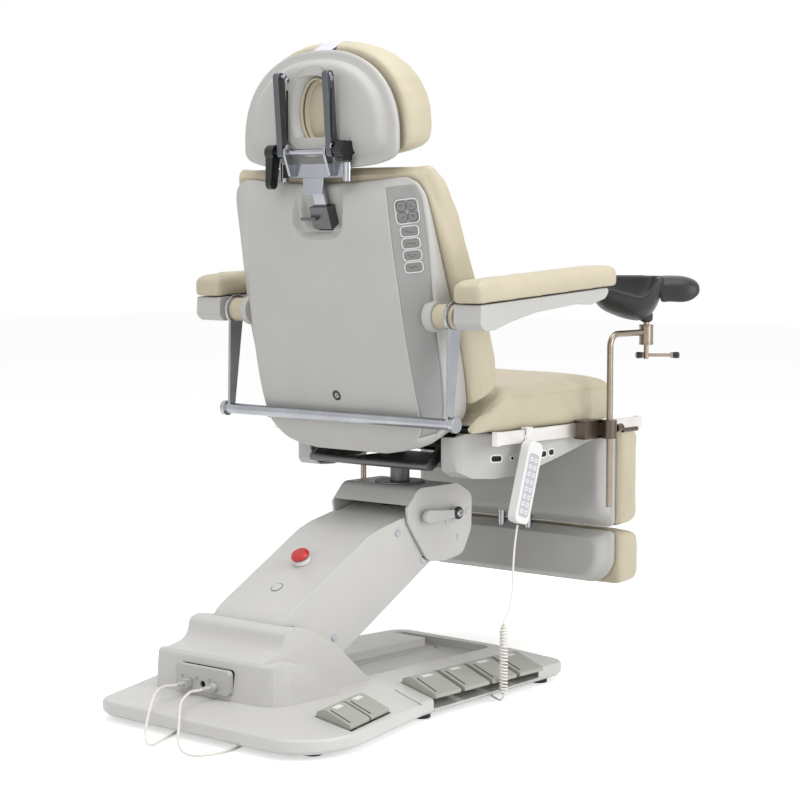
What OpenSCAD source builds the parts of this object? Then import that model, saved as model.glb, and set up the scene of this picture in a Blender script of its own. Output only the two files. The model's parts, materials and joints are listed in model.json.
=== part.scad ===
// Electric examination chair on a pivoting lift arm, in millimetres.
// Places are measured from the swivel axis: +X is the patient's left, -Y the foot end, +Z up.

/* [Base] */
// Thickness of the floor plate
plate_t = 28; // [24:1:34]
// Height of the rubber feet under the plate
foot_h = 12; // [8:1:18]
// Reach of the floor plate to the left of the swivel axis
plate_left = 190; // [184:1:200]
// Reach of the floor plate to the right of the swivel axis
plate_right = 416; // [412:1:430]
// Reach of the floor plate behind the swivel axis
plate_back = 725; // [700:5:760]
// Reach of the floor plate in front of the swivel axis
plate_front = 222; // [205:1:240]
// Depth of the tray sunk into the plate
tray_depth = 17; // [10:1:20]
// Height of the base cover's ridge above the floor
ridge_z = 172; // [170:1:178]
// Height of the base cover's lower step above the floor
step_z = 116; // [108:1:122]
// Length of the four front pedals
front_pedal_len = 145; // [130:1:150]
// Length of the two rear pedals
rear_pedal_len = 106; // [96:1:108]
// Length of the pedal on the left
left_pedal_len = 74; // [68:1:76]
// Width of a foot pedal
pedal_w = 76; // [70:1:80]
// Height of a pedal's hump above the plate
pedal_rise = 19; // [16:1:24]

/* [Lift arm] */
// Distance of the lower arm pivot behind the swivel axis
low_pivot_y = 385; // [382:1:388]
// Height of the lower arm pivot
low_pivot_z = 124; // [122:1:126]
// Distance of the upper arm pivot in front of the swivel axis
high_pivot_y = 35; // [32:1:38]
// Height of the upper arm pivot
high_pivot_z = 325; // [323:1:327]
// Half width of the arm casing
arm_half_w = 94; // [90:1:95]
// Wall of the arm casing
arm_wall = 4; // [3:0.5:5]
// Diameter of the axles at the arm's two pivots
axle_d = 24; // [18:1:26]
// Distance between an arm axle and the levelling link's pin
link_offset = 28; // [27:1:29]
// Diameter of the levelling link's pins
link_pin_d = 10; // [8:1:11]

/* [Head and swivel] */
// Half width of the head housing
head_half_w = 102; // [101:1:106]
// Height of the top of the head housing
head_top_z = 398; // [396:1:400]
// Diameter of the swivel disc
disc_d = 104; // [90:1:116]
// Diameter of the swivel column
column_d = 40; // [34:1:46]
// Length of the swivel lock lever
lock_len = 96; // [80:1:106]

/* [Seat] */
// Half width of the cushions
cushion_half_w = 285; // [278:1:286]
// Height of the seat cushion's side edge above the floor
seat_top_z = 606; // [600:1:614]
// Height of the seat cushion's underside
seat_low_z = 525; // [524:0.5:527]
// Reach of the seat cushion in front of the swivel axis
seat_front = 372; // [364:1:374]
// Height of the accessory rails
rail_h = 26; // [24:1:28]
// Thickness of the accessory rails
rail_t = 10; // [8:1:11]
// Length of the accessory rails
rail_len = 470; // [450:5:474]

/* [Backrest] */
// Backward lean of the backrest
back_lean = 19; // [18:0.5:20]
// Thickness of the back cushion
back_cushion_t = 84; // [76:1:88]
// Wall of the moulded shells
shell_wall = 4; // [3:0.5:5]
// Greatest half width of the backrest shell
back_half_w = 255; // [250:1:258]

/* [Headrest] */
// Half width of the headrest cushion
head_cushion_half_w = 222; // [212:1:232]
// Thickness of the headrest cushion
head_cushion_t = 92; // [84:1:100]
// Height of the headrest cushion's crown above the floor
head_crown_z = 1288; // [1275:1:1300]
// Height of the face opening
face_hole_h = 132; // [120:1:138]
// Width of the face opening
face_hole_w = 84; // [74:1:90]

/* [Leg and foot sections] */
// Height of the leg section's cushion
leg_h = 210; // [200:1:216]
// Height of the foot section's cushion
foot_section_h = 104; // [96:1:110]
// Gap between the leg and foot sections
leg_gap = 26; // [20:1:32]
// Thickness of the leg and foot cushions
leg_cushion_t = 76; // [66:1:82]
// Diameter of the foot section's slide rods
slide_rod_d = 16; // [12:1:18]

/* [Armrests] */
// Length of the armrest pad
arm_pad_len = 455; // [430:1:462]
// Width of the armrest pad
arm_pad_w = 78; // [72:1:82]
// Thickness of the armrest pad
arm_pad_t = 44; // [38:1:50]

/* [Roll bar] */
// Diameter of the roll bar
bar_d = 22; // [18:1:24]
// Diameter of the roll bar's end caps
cap_d = 31; // [28:1:34]

/* [Leg supports] */
// Diameter of the leg support's rod
rod_d = 13; // [11:1:15]
// Height of the leg support's upper bend above the floor
rod_top_z = 703; // [690:1:715]
// Width of a leg support's cradle
cradle_w = 230; // [210:2:240]
// Wall of a leg support's cradle
cradle_t = 12; // [10:1:16]

/* [Handset] */
// Length of the handset
handset_len = 165; // [150:1:175]
// Width of the handset
handset_w = 46; // [40:1:52]

/* [Hidden] */

// Distance of the swivel axis in front of the part's origin
axis_y = -116;
// Running clearance round a pin, and the gap between pieces that only meet
fit = 0.06;
gap = 0.4;
// Overrun of every cut
over = 2;
fine = 48;
coarse = 24;

// Colours
paint = [0.84, 0.84, 0.83];
plastic = [0.78, 0.78, 0.76];
leather = [0.80, 0.73, 0.58];
steel = [0.55, 0.55, 0.55];
chrome = [0.80, 0.81, 0.83];
nickel = [0.72, 0.68, 0.62];
olive = [0.56, 0.57, 0.51];
black = [0.08, 0.08, 0.09];
white = [0.93, 0.93, 0.93];
red = [0.80, 0.08, 0.08];

// Unit vector
function unit(v) = v / norm(v);

// Arc that rounds the corner b between a and c
function corner(a, b, c, r, n) =
    let (u = unit(a - b), w = unit(c - b), half = acos(max(-1, min(1, u * w))) / 2,
         p = b + u * r / tan(half), q = b + w * r / tan(half), o = b + unit(u + w) * r / sin(half))
    [for (i = [0:n]) let (m = (p - o) * (1 - i / n) + (q - o) * i / n) o + unit(m) * r];

// Outline through points [x, y, radius], with n chords on each rounded corner
function rounded(pts, n = 4) =
    [for (i = [0:len(pts) - 1])
        let (k = len(pts), a = pts[(i + k - 1) % k], b = pts[i], c = pts[(i + 1) % k])
        each (b[2] == 0 ? [[b[0], b[1]]] : corner([a[0], a[1]], [b[0], b[1]], [c[0], c[1]], b[2], n))];

// Outline moved inwards by d, for an outline that runs anticlockwise
function shrink(pts, d) =
    [for (i = [0:len(pts) - 1])
        let (k = len(pts), a = pts[(i + k - 1) % k], b = pts[i], c = pts[(i + 1) % k],
             e = unit(b - a), f = unit(c - b), m = [e[1] + f[1], -e[0] - f[0]] / (1 + e * f))
        b - m * d];

// Closed skin over rings that hold the same number of points
module loft(rings) {
    n = len(rings[0]);
    k = len(rings);
    polyhedron(
        points = [for (r = rings) each r],
        faces = concat(
            [for (i = [0:k - 2]) for (j = [0:n - 1]) let (a = i * n + j, b = i * n + (j + 1) % n)
                each [[a, a + n, b + n], [a, b + n, b]]],
            [for (j = [1:n - 2]) [0, j, j + 1]],
            [for (j = [1:n - 2]) [(k - 1) * n, (k - 1) * n + j + 1, (k - 1) * n + j]]
        ),
        convexity = 6
    );
}

module box(lo, hi) { translate(lo) cube(hi - lo); }
module rod_x(d, x0, x1, y, z, n = fine) { translate([x0, y, z]) rotate([0, 90, 0]) cylinder(d = d, h = x1 - x0, $fn = n); }
module rod_y(d, y0, y1, x, z, n = fine) { translate([x, y0, z]) rotate([-90, 0, 0]) cylinder(d = d, h = y1 - y0, $fn = n); }
module rod_z(d, z0, z1, x, y, n = fine) { translate([x, y, z0]) cylinder(d = d, h = z1 - z0, $fn = n); }
// Outline in the side view, given as [y, z], stretched from x0 to x1
module slab_x(x0, x1, pts) { translate([x0, 0, 0]) rotate([90, 0, 90]) linear_extrude(x1 - x0) polygon(pts); }
module slab_z(z0, z1, pts) { translate([0, 0, z0]) linear_extrude(z1 - z0) polygon(pts); }
// Outline in the front view, given as [x, z], stretched from y0 to y1
module slab_y(y0, y1, pts) { translate([0, y1, 0]) rotate([90, 0, 0]) linear_extrude(y1 - y0) polygon(pts); }
module both() { children(); mirror([1, 0, 0]) children(); }
module in_frame() { translate([0, axis_y, 0]) children(); }

// Base

plate_top = foot_h + plate_t;
tray_z = plate_top - tray_depth;
waist_x = 340;
waist_y = 318;
left_bulge = 50;
function plate_outline() = rounded([
    [plate_left, -plate_front, 42], [plate_left + left_bulge, 320, 120], [plate_left + left_bulge - 8, 460, 80],
    [plate_left - 48, plate_back - 17, 60], [-plate_right + 24, plate_back, 90], [-plate_right, 605, 150],
    [-waist_x, waist_y, 220], [-waist_x + 34, -plate_front + 54, 45], [-plate_left / 2, -plate_front + 12, 300]], 5);
// Edge of the plate: [height, how far the outline is drawn in], rounded at the top and cut under at the foot
plate_edge = 6;
plate_undercut = 8;
function plate_rings() = [[foot_h, plate_undercut], [foot_h + plate_undercut - 1, 0.5],
    [plate_top - plate_edge, 0], [plate_top - plate_edge * 0.25, plate_edge * 0.4], [plate_top, plate_edge]];
tray_right = 102;
tray_left = 165;
tray_back = low_pivot_y + 60;
function tray_outline() = rounded([
    [tray_left, -plate_front + 34, 14], [tray_left, -plate_front + 54, 4], [72, -plate_front + 54, 4],
    [72, tray_back, 6], [-tray_right, tray_back, 6], [-tray_right, -plate_front + 38, 30]], 4);
slot_x = 36;
slot_w = 15;

// Pedals: a row is [x, y, turn, pedal length, pitch, slant, number], from its first inner front corner.
// Each pedal runs outwards along -X and its sides slant rearwards, by the slant's share of its length.
front_row = [-190, -120, 1, front_pedal_len, 88, 0.52, 4];
rear_row = [-228, 394, 16, rear_pedal_len, 82, 0.70, 2];
left_row = [-152, 348, 0, left_pedal_len, 82, 0.50, 1];
pedal_rows = [front_row, rear_row, left_row];
pedal_count = 7;
function row_of(i) = i < 4 ? front_row : i < 6 ? rear_row : left_row;
function place_in_row(i) = i < 4 ? i : i < 6 ? i - 4 : 0;
pedal_pin_d = 6;
pedal_pin_back = 30;
pedal_pin_z = plate_top - 4;
pocket_gap = 4;
pocket_floor = foot_h + 9;
bearing_in = 14;
bearing_t = 8;

// The left row mirrors the others
module on_row(row) {
    mirror([row == left_row ? 1 : 0, 0, 0]) translate([row[0], row[1], 0]) rotate([0, 0, row[2]]) children();
}
module on_pedal(i) {
    on_row(row_of(i)) translate([0, place_in_row(i) * row_of(i)[4], 0]) children();
}

// Plan of a slanted strip of length l and width w, grown by g
function slanted(l, w, slant, g) = [[g, -g - slant * g], [g, w + g - slant * g],
    [-l - g, slant * (l + g) + w + g], [-l - g, slant * (l + g) - g]];
module pocket(row) {
    on_row(row) slab_z(pocket_floor, plate_top + over,
        slanted(row[3], (row[6] - 1) * row[4] + pedal_w, row[5], pocket_gap));
}

module base_plate() {
    color(paint) difference() {
        loft([for (r = plate_rings()) [for (p = shrink(plate_outline(), r[1])) [p[0], p[1], r[0]]]]);
        slab_z(tray_z, plate_top + over, tray_outline());
        slab_z(foot_h - over, plate_top, [[slot_x, -plate_front + 48], [slot_x + slot_w, -plate_front + 48],
            [slot_x + slot_w, 100], [slot_x, 100]]);
        for (row = pedal_rows) pocket(row);
    }
}

foot_d = 34;
foot_places = [[150, -180], [-276, -112], [-306, 292], [-350, 640], [110, 640], [150, 240]];
module base_feet() {
    color(black) for (p = foot_places) rod_z(foot_d, 0, foot_h, p[0], p[1], coarse);
}

// Bearing blocks of one pedal, with the pin through them
module pedal_bearings(i) {
    y0 = row_of(i)[5] * pedal_pin_back;
    on_pedal(i) {
        rod_y(pedal_pin_d, y0 + gap, y0 + pedal_w - gap, -pedal_pin_back, pedal_pin_z, coarse);
        for (y = [y0 + bearing_in, y0 + pedal_w - bearing_in - bearing_t])
            difference() {
                box([-pedal_pin_back - 5, y, pocket_floor], [-pedal_pin_back + 5, y + bearing_t, pedal_pin_z + 5]);
                rod_y(pedal_pin_d + 2 * fit, y - over, y + bearing_t + over, -pedal_pin_back, pedal_pin_z, coarse);
            }
    }
}
module pedal_pins() { color(steel) for (i = [0:pedal_count - 1]) pedal_bearings(i); }

// Side view of a pedal of length l, given as [x, z]: a hump near the inner end, thin at the outer end
pedal_heel = 9;
pedal_tip = 8;
pedal_skirt = 7;
pedal_wall = 5;
function pedal_side(l) = rounded([
    [0, plate_top - 14, 3], [0, plate_top + pedal_heel, 6], [-l * 0.25, plate_top + pedal_rise, l * 0.3],
    [-l, plate_top + pedal_tip, 4], [-l, plate_top + 1, 2], [-l * 0.6, plate_top - 12, 10]], 3);
function pedal_hollow(l) = [[-pedal_wall, plate_top - 20], [-pedal_wall, plate_top + pedal_heel - pedal_wall],
    [-l * 0.25, plate_top + pedal_rise - pedal_wall], [-l + 12, plate_top + pedal_tip - pedal_wall],
    [-l + 12, plate_top - 20]];
module pedal(i) {
    l = row_of(i)[3];
    slant = row_of(i)[5];
    reach = pedal_w + slant * l + over;
    color(olive) on_pedal(i) difference() {
        intersection() {
            slab_y(-over, reach, pedal_side(l));
            slab_z(foot_h, plate_top + pedal_rise + over, slanted(l, pedal_w, slant, 0));
        }
        // Hollow under the tread
        intersection() {
            slab_y(-over, reach, pedal_hollow(l));
            slab_z(foot_h, plate_top + pedal_rise, slanted(l, pedal_w, slant, -pedal_skirt));
        }
        rod_y(pedal_pin_d + 2 * fit, -over, reach, -pedal_pin_back, pedal_pin_z, coarse);
    }
}

// Lift arm side view: upper edge, nose round the upper pivot, lower edge, heel round the lower pivot
low = [low_pivot_y, low_pivot_z];
high = [-high_pivot_y, high_pivot_z];
heel_r = 78;
nose_r = 47;
arm_shoulder = [205, 314];
function arm_side(wall = 0) = concat(
    [for (a = [60:-12:-84]) low + (heel_r - wall) * [cos(a), sin(a)]],
    [for (a = [-105:-15:-120]) low + (heel_r - wall) * [cos(a), sin(a)]],
    [for (a = [-120:-15:-255]) high + (nose_r - wall) * [cos(a), sin(a)]],
    [[high_pivot_y + 45, high_pivot_z + 16 - wall], [high_pivot_y + 74, high_pivot_z + 14 - wall],
     [170, 326 - wall], arm_shoulder - [0, wall]]);
ridge_y = 456;

module arm_shell() {
    color(paint) difference() {
        slab_x(-arm_half_w, arm_half_w, [for (i = [len(arm_side()) - 1:-1:0]) arm_side()[i]]);
        slab_x(-arm_half_w + arm_wall, arm_half_w - arm_wall,
            [for (i = [len(arm_side()) - 1:-1:0]) arm_side(arm_wall)[i]]);
        // Underside open at the heel, where the base bracket stands, and the top open at the nose
        slab_x(-arm_half_w + arm_wall, arm_half_w - arm_wall,
            [[290, 20], [low_pivot_y + 60, 20], [low_pivot_y + 60, low_pivot_z - 40], [290, low_pivot_z - 8]]);
        slab_x(-link_slot, link_slot, [[-100, high_pivot_z], [30, high_pivot_z], [30, 400], [-100, 400]]);
        for (p = [low, high])
            rod_x(axle_d + 2 * fit, -arm_half_w - over, arm_half_w + over, p[0], p[1]);
        rod_z(stop_d - 12, 250, 330, 0, stop_y, coarse);
    }
}
link_slot = 26;
bracket_t = 10;
bracket_x = 60;
axle_over = 2;

// Levelling link: the same offset from both arm pivots, so that it stays parallel to the arm
link_dir = [0.66, 0.75];
link_low = low + link_offset * link_dir;
link_high = high + link_offset * link_dir;
link_r = 11;
link_t = 12;
module level_link() {
    a = unit(link_high - link_low);
    n = [-a[1], a[0]] * link_r;
    color(steel) difference() {
        union() {
            slab_x(-link_t / 2, link_t / 2, [link_low + n, link_high + n, link_high - n, link_low - n]);
            for (p = [link_low, link_high]) rod_x(2 * link_r, -link_t / 2, link_t / 2, p[0], p[1]);
        }
        for (p = [link_low, link_high])
            rod_x(link_pin_d + 2 * fit, -link_t, link_t, p[0], p[1]);
    }
}

// Base bracket: a foot, two ears with the arm's axle, and two inner lugs with the link's pin
module base_bracket() {
    color(steel) difference() {
        union() {
            box([-bracket_x - bracket_t, low_pivot_y - 46, tray_z], [bracket_x + bracket_t, low_pivot_y + 30, bracket_top]);
            both() slab_x(bracket_x, bracket_x + bracket_t, rounded([[low_pivot_y - 40, bracket_top - 1, 0],
                [low_pivot_y + 12, bracket_top - 1, 0], [low_pivot_y + 18, low_pivot_z + 20, 14],
                [low_pivot_y - 20, low_pivot_z + 20, 14]]));
            both() slab_x(link_t / 2 + 1, link_t / 2 + 9, rounded([[low_pivot_y - 20, bracket_top - 1, 0],
                [low_pivot_y + 12, bracket_top - 1, 0], [link_low[0] + 14, link_low[1] + 13, 10],
                [link_low[0] - 14, link_low[1] + 13, 10]]));
        }
        rod_x(axle_d + 2 * fit, -arm_half_w, arm_half_w, low[0], low[1]);
        rod_x(link_pin_d + 2 * fit, -30, 30, link_low[0], link_low[1]);
    }
    color(chrome) rod_x(axle_d, -arm_half_w - axle_over, -link_t / 2 - 10, low[0], low[1]);
    color(chrome) rod_x(axle_d, link_t / 2 + 10, arm_half_w + axle_over, low[0], low[1]);
    color(chrome) rod_x(link_pin_d, -link_t / 2 - 11, link_t / 2 + 11, link_low[0], link_low[1]);
}
bracket_top = tray_z + 14;

// Base cover: a high tier with the ridge over the arm's heel, and a low step behind and beside it
cover_right = 174;
cover_left = 144;
cover_back = 556;
cover_wall = 4;
high_tier_x = 128;
function high_tier() = rounded([
    [cover_back - 10, plate_top, 0], [cover_back - 14, step_z, 6], [cover_back - 70, step_z + 12, 30],
    [ridge_y + 22, ridge_z - 6, 14], [ridge_y, ridge_z, 8], [410, ridge_z - 8, 60], [340, step_z + 10, 120],
    [237, plate_top, 0]], 4);
function low_tier() = rounded([
    [cover_back, plate_top, 0], [cover_back - 12, step_z - 1, 8], [470, step_z - 4, 60], [365, plate_top, 0]], 4);
function low_tier_plan() = rounded([
    [cover_left, 365, 20], [cover_left, cover_back, 12], [-cover_right, cover_back, 46],
    [-cover_right, 365, 20]], 4);
bay_r = heel_r + 5;
module base_cover() {
    color(paint) difference() {
        union() {
            slab_x(-high_tier_x, high_tier_x, high_tier());
            intersection() {
                slab_x(-cover_right - over, cover_left + over, low_tier());
                slab_z(plate_top, ridge_z, low_tier_plan());
            }
        }
        // Bay for the arm: open in front of the ridge, and rounded under it
        slab_x(-arm_half_w - 4, arm_half_w + 4,
            [[200, plate_top - over], [low_pivot_y + 44, plate_top - over], [ridge_y - 4, ridge_z - 40],
             [ridge_y - 4, ridge_z + over], [200, ridge_z + over]]);
        rod_x(2 * bay_r, -arm_half_w - 4, arm_half_w + 4, low[0], low[1]);
        // Hollow under the step
        slab_x(-cover_right + 2 * cover_wall + 4, cover_left - cover_wall,
            [[low_pivot_y + 70, plate_top - over], [cover_back - 16, plate_top - over],
             [cover_back - 22, step_z - 8], [low_pivot_y + 100, step_z - 8]]);
        slab_y(cover_back - 40, cover_back + over, panel_outline_at(gap));
    }
}

// Socket panel on the rear of the base cover, with the two plugs in it
panel_w = 142;
panel_h = 46;
panel_t = 12;
panel_x = 6;
panel_z = 73;
panel_back = cover_back + 8;
plug_left_x = 38;
plug_right_x = -30;
plug_z = 64;
plug_out = 34;
function panel_outline_at(g) = let (w = panel_w / 2 + g, h = panel_h / 2 + g) rounded([
    [panel_x - w, panel_z - h, 8], [panel_x + w, panel_z - h, 8], [panel_x + w, panel_z + h, 8],
    [panel_x - w, panel_z + h, 8]]);
module socket_panel() {
    color(plastic) difference() {
        slab_y(panel_back - panel_t, panel_back, panel_outline_at(0));
        box([panel_x - panel_w / 2 + 7, panel_back - panel_t - over, panel_z - panel_h / 2 + 7],
            [panel_x + panel_w / 2 - 7, panel_back - 4, panel_z + panel_h / 2 - 7]);
        box([plug_left_x - 7 - gap, panel_back - 20, plug_z - 7 - gap], [plug_left_x + 7 + gap, panel_back + over, plug_z + 7 + gap]);
        rod_y(14, panel_back - 20, panel_back + over, 4, plug_z, coarse);
        rod_y(16, panel_back - 20, panel_back + over, plug_right_x, plug_z, coarse);
    }
    color(white) box([plug_left_x - 7, panel_back - 8, plug_z - 7], [plug_left_x + 7, panel_back + 16, plug_z + 7]);
    color(white) rod_y(8, panel_back + 16, panel_back + plug_out, plug_left_x, plug_z, coarse);
    color(white) rod_y(15, panel_back - 8, panel_back + 14, plug_right_x, plug_z, coarse);
    color(white) rod_y(8, panel_back + 14, panel_back + plug_out, plug_right_x, plug_z, coarse);
}

// Fittings of the arm: stop switch collar, blanking plug, side screws and the motor inside
stop_y = 292;
stop_z = 294;
stop_d = 40;
arm_screw_d = 14;
arm_screw_t = 2;
arm_screws = [[116, 312], [38, 250], [423, 160], [305, 128]];
motor_d = 60;
// The arm's upper face runs from its shoulder down to the heel
arm_brow = low + heel_r * [cos(60), sin(60)];
arm_top_fall = atan2(arm_shoulder[1] - arm_brow[1], arm_brow[0] - arm_shoulder[0]);
module on_arm_top(y) {
    translate([0, y, arm_shoulder[1] - (y - arm_shoulder[0]) * tan(arm_top_fall)]) rotate([-arm_top_fall, 0, 0]) children();
}
module arm_fittings() {
    color(white) on_arm_top(stop_y) difference() {
        translate([0, 0, 0.5]) cylinder(d = stop_d - 6, h = 9, $fn = coarse);
        translate([0, 0, -over]) cylinder(d = 18, h = 20, $fn = coarse);
    }
    color(plastic) on_arm_top(366) translate([0, 0, 0.3]) cylinder(d = 22, h = 1.2, $fn = coarse);
    color(chrome) both() for (p = arm_screws) rod_x(arm_screw_d, arm_half_w, arm_half_w + arm_screw_t, p[0], p[1], coarse);
    color(steel) translate([arm_half_w - arm_wall - motor_d / 2 - gap, 130, 235]) rotate([-120, 0, 0])
        cylinder(d = motor_d, h = 150, $fn = fine);
}
stop_travel = 5;
module stop_button() {
    color(red) on_arm_top(stop_y) {
        translate([0, 0, 9.5 + stop_travel]) cylinder(d1 = stop_d, d2 = stop_d - 8, h = 9, $fn = fine);
        translate([0, 0, 1]) cylinder(d = 17, h = 9 + stop_travel, $fn = coarse);
    }
}

// Head: a housing whose cheeks carry the arm's upper axle, with a lip over the arm
head_wall = 5;
axle_proud = 1;
function head_side() = rounded([
    [-24, 242, 30], [30, 246, 30], [68, 296, 20], [92, 330, 8], [97, 360, 5], [60, head_top_z, 30],
    [-62, head_top_z, 20], [-110, 372, 24], [-108, 300, 40], [-80, 250, 30]], 4);
module head_housing() {
    color(paint) difference() {
        slab_x(-head_half_w, head_half_w, head_side());
        slab_x(-head_half_w + head_wall, head_half_w - head_wall,
            [[120, 200], [120, 357], [40, 380], [10, 386], [-80, 384], [-103, 366], [-103, 200]]);
        rod_x(axle_d + 2 * fit, -head_half_w - over, -40, high[0], high[1]);
        rod_x(axle_d + 2 * fit, 40, head_half_w + over, high[0], high[1]);
        rod_z(column_d + 2 * fit, 380, head_top_z + over, 0, 0);
    }
    // Inner lugs with the link's upper pin
    color(steel) difference() {
        both() slab_x(link_t / 2 + 1, link_t / 2 + 9, rounded([[link_high[0] - 12, link_high[1] - 12, 8],
            [link_high[0] + 12, link_high[1] - 12, 8], [link_high[0] + 12, 386, 0], [link_high[0] - 12, 386, 0]]));
        rod_x(link_pin_d + 2 * fit, -30, 30, link_high[0], link_high[1]);
    }
    color(chrome) rod_x(link_pin_d, -link_t / 2 - 11, link_t / 2 + 11, link_high[0], link_high[1]);
    color(chrome) both() rod_x(axle_d, 58, head_half_w + axle_proud, high[0], high[1]);
    color(chrome) both() for (p = [[-95, 336], [-66, 286]]) rod_x(13, head_half_w, head_half_w + 2, p[0], p[1], coarse);
}
module swivel_disc() {
    color(steel) difference() {
        rod_z(disc_d, head_top_z, head_top_z + 4, 0, 0);
        rod_z(column_d + 2 * fit, head_top_z - over, head_top_z + 10, 0, 0);
    }
}

// Swivel lock lever on the right cheek
lock_y = -50;
lock_z = 338;
module lock_lever() {
    color(paint) {
        rod_x(26, -head_half_w - 16, -head_half_w - axle_proud - gap, lock_y, lock_z);
        hull() {
            rod_x(14, -head_half_w - 16, -head_half_w - 8, lock_y + 8, lock_z, 20);
            rod_x(26, -head_half_w - 18, -head_half_w - 10, lock_y + lock_len, lock_z + 2, 20);
        }
    }
}

// Swivel frame: column, plate and the ears of the tilt pivot
frame_z = 436;
frame_t = 10;
tilt_y = -110;
tilt_z = 464;
tilt_tube_d = 18;
frame_half_w = 110;
module swivel_frame() {
    color(steel) {
        rod_z(column_d, 388, frame_z, 0, 0);
        difference() {
            union() {
                slab_z(frame_z, frame_z + frame_t, rounded([[frame_half_w, -140, 12], [frame_half_w, 72, 12],
                    [-frame_half_w, 72, 12], [-frame_half_w, -140, 12]]));
                both() slab_x(frame_half_w - 14, frame_half_w - 2, rounded([[tilt_y - 24, frame_z, 0],
                    [tilt_y + 24, frame_z, 0], [tilt_y + 13, tilt_z + 14, 12], [tilt_y - 13, tilt_z + 14, 12]]));
            }
            rod_x(tilt_tube_d + 2 * fit, -frame_half_w - over, frame_half_w + over, tilt_y, tilt_z);
        }
    }
}

// Seat chassis: board, side members, hinge ears front and rear, tilt tube and the roller bar
member_x = 150;
member_t = 20;
board_t = 9;
back_y = 115;
back_z = 510;
leg_y = -380;
leg_z = 508;
pin_d = 12;
roller_y = 96;
roller_z = 448;
// Half widths of the leg and foot shells' rear panels and of the seat board in line with them
leg_half_w = 240;
board_half_w = leg_half_w + 22;
module seat_chassis() {
    board_z = seat_low_z - gap - board_t;
    color(steel) difference() {
        union() {
            slab_z(board_z, board_z + board_t, rounded([[board_half_w, -345, 20], [board_half_w, 42, 10],
                [-board_half_w, 42, 10], [-board_half_w, -345, 20]]));
            both() slab_x(member_x, member_x + member_t, [[-340, board_z], [-340, 496], [-150, 482],
                [40, 482], [60, 492], [60, board_z]]);
            both() slab_x(member_x, member_x + 12, rounded([[30, 484, 0], [back_y, back_z - 13, 8],
                [back_y + 13, back_z, 8], [back_y, back_z + 13, 8], [40, board_z, 0]]));
            both() slab_x(member_x, member_x + 14, rounded([[-330, 496, 0], [-330, board_z, 0],
                [leg_y, leg_z + 9, 5], [leg_y - 9, leg_z, 5], [leg_y, leg_z - 9, 5]]));
            both() slab_x(member_x, member_x + 8, rounded([[tilt_y - 30, 484, 0], [tilt_y - 12, tilt_z - 13, 8],
                [tilt_y + 12, tilt_z - 13, 8], [tilt_y + 30, 484, 0]]));
            both() slab_x(member_x, member_x + 8, rounded([[roller_y - 70, 484, 0], [roller_y - 10, roller_z - 10, 8],
                [roller_y + 10, roller_z, 8], [roller_y - 36, 486, 0]]));
        }
        both() rod_x(pin_d + 2 * fit, member_x - over, member_x + member_t + over, back_y, back_z);
        both() rod_x(pin_d + 2 * fit, member_x - over, member_x + member_t + over, leg_y, leg_z);
        rod_x(tilt_tube_d + 2 * fit, -member_x - 30, member_x + 30, tilt_y, tilt_z);
        rod_x(16 + 2 * fit, -member_x - 30, member_x + 30, roller_y, roller_z);
    }
    color(steel) rod_x(tilt_tube_d, -member_x - 8, member_x + 8, tilt_y, tilt_z);
    color(chrome) rod_x(16, -member_x - 8, member_x + 8, roller_y, roller_z);
    color(chrome) both() rod_x(pin_d, member_x - 18, member_x + 14, back_y, back_z);
    color(chrome) both() rod_x(pin_d, member_x + 1, member_x + 34, leg_y, leg_z);
}

// Side covers under the seat: an outer wall, a sloping floor and a rear wall, open inwards
cover_x0 = 176;
cover_x1 = 278;
cover_y0 = -344;
cover_y1 = 82;
function seat_cover_side(d = 0) = [[cover_y1 - 36, seat_low_z - 3], [cover_y1 - d, seat_low_z - 18], [cover_y1 - d, 470], [cover_y1 - 6 - d, 440 + d],
    [50, 426 + d], [10, 424 + d], [-60, 432 + d], [-150, 450 + d], [-290, 482 + d], [cover_y0 + d, 497 + d],
    [cover_y0 + d, seat_low_z - 3]];
function seat_cover_plan(d = 0) = rounded([[cover_x1 - d, cover_y0 + d, 20], [cover_x1 - d, -30, 60],
    [cover_x1 - 64 - d, cover_y1 - d, 30], [cover_x0, cover_y1 - d, 4], [cover_x0, cover_y0 + d, 4]], 4);
module seat_covers() {
    color(plastic) both() difference() {
        intersection() {
            slab_x(cover_x0, cover_x1, [for (i = [10:-1:0]) seat_cover_side()[i]]);
            slab_z(400, seat_low_z - gap - board_t - gap, seat_cover_plan());
        }
        intersection() {
            slab_x(cover_x0 - over, cover_x1 - shell_wall, [for (i = [10:-1:0]) seat_cover_side(shell_wall)[i]]);
            translate([-over, 0, 0]) slab_z(400, 560, seat_cover_plan(shell_wall));
        }
        box([cover_x0 - over, cover_y0 + shell_wall, 490], [cover_x1 - 70, cover_y1 - shell_wall, 560]);
    }
}

// Accessory rails with end caps, stood off the covers by spacers
rail_x = 289;
rail_z = 496;
rail_back = 46;
rail_posts = [-60, -185, -310];
module rails() {
    both() {
        color(chrome) box([rail_x, rail_back - rail_len, rail_z], [rail_x + rail_t, rail_back, rail_z + rail_h]);
        color(white) box([rail_x - 1, rail_back, rail_z - 1], [rail_x + rail_t + 1, rail_back + 12, rail_z + rail_h + 1]);
        color(white) box([rail_x - 1, rail_back - rail_len - 12, rail_z - 1],
            [rail_x + rail_t + 1, rail_back - rail_len, rail_z + rail_h + 1]);
        color(steel) for (y = rail_posts) rod_x(14, cover_x1, rail_x, y, rail_z + 9, coarse);
    }
}

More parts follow.
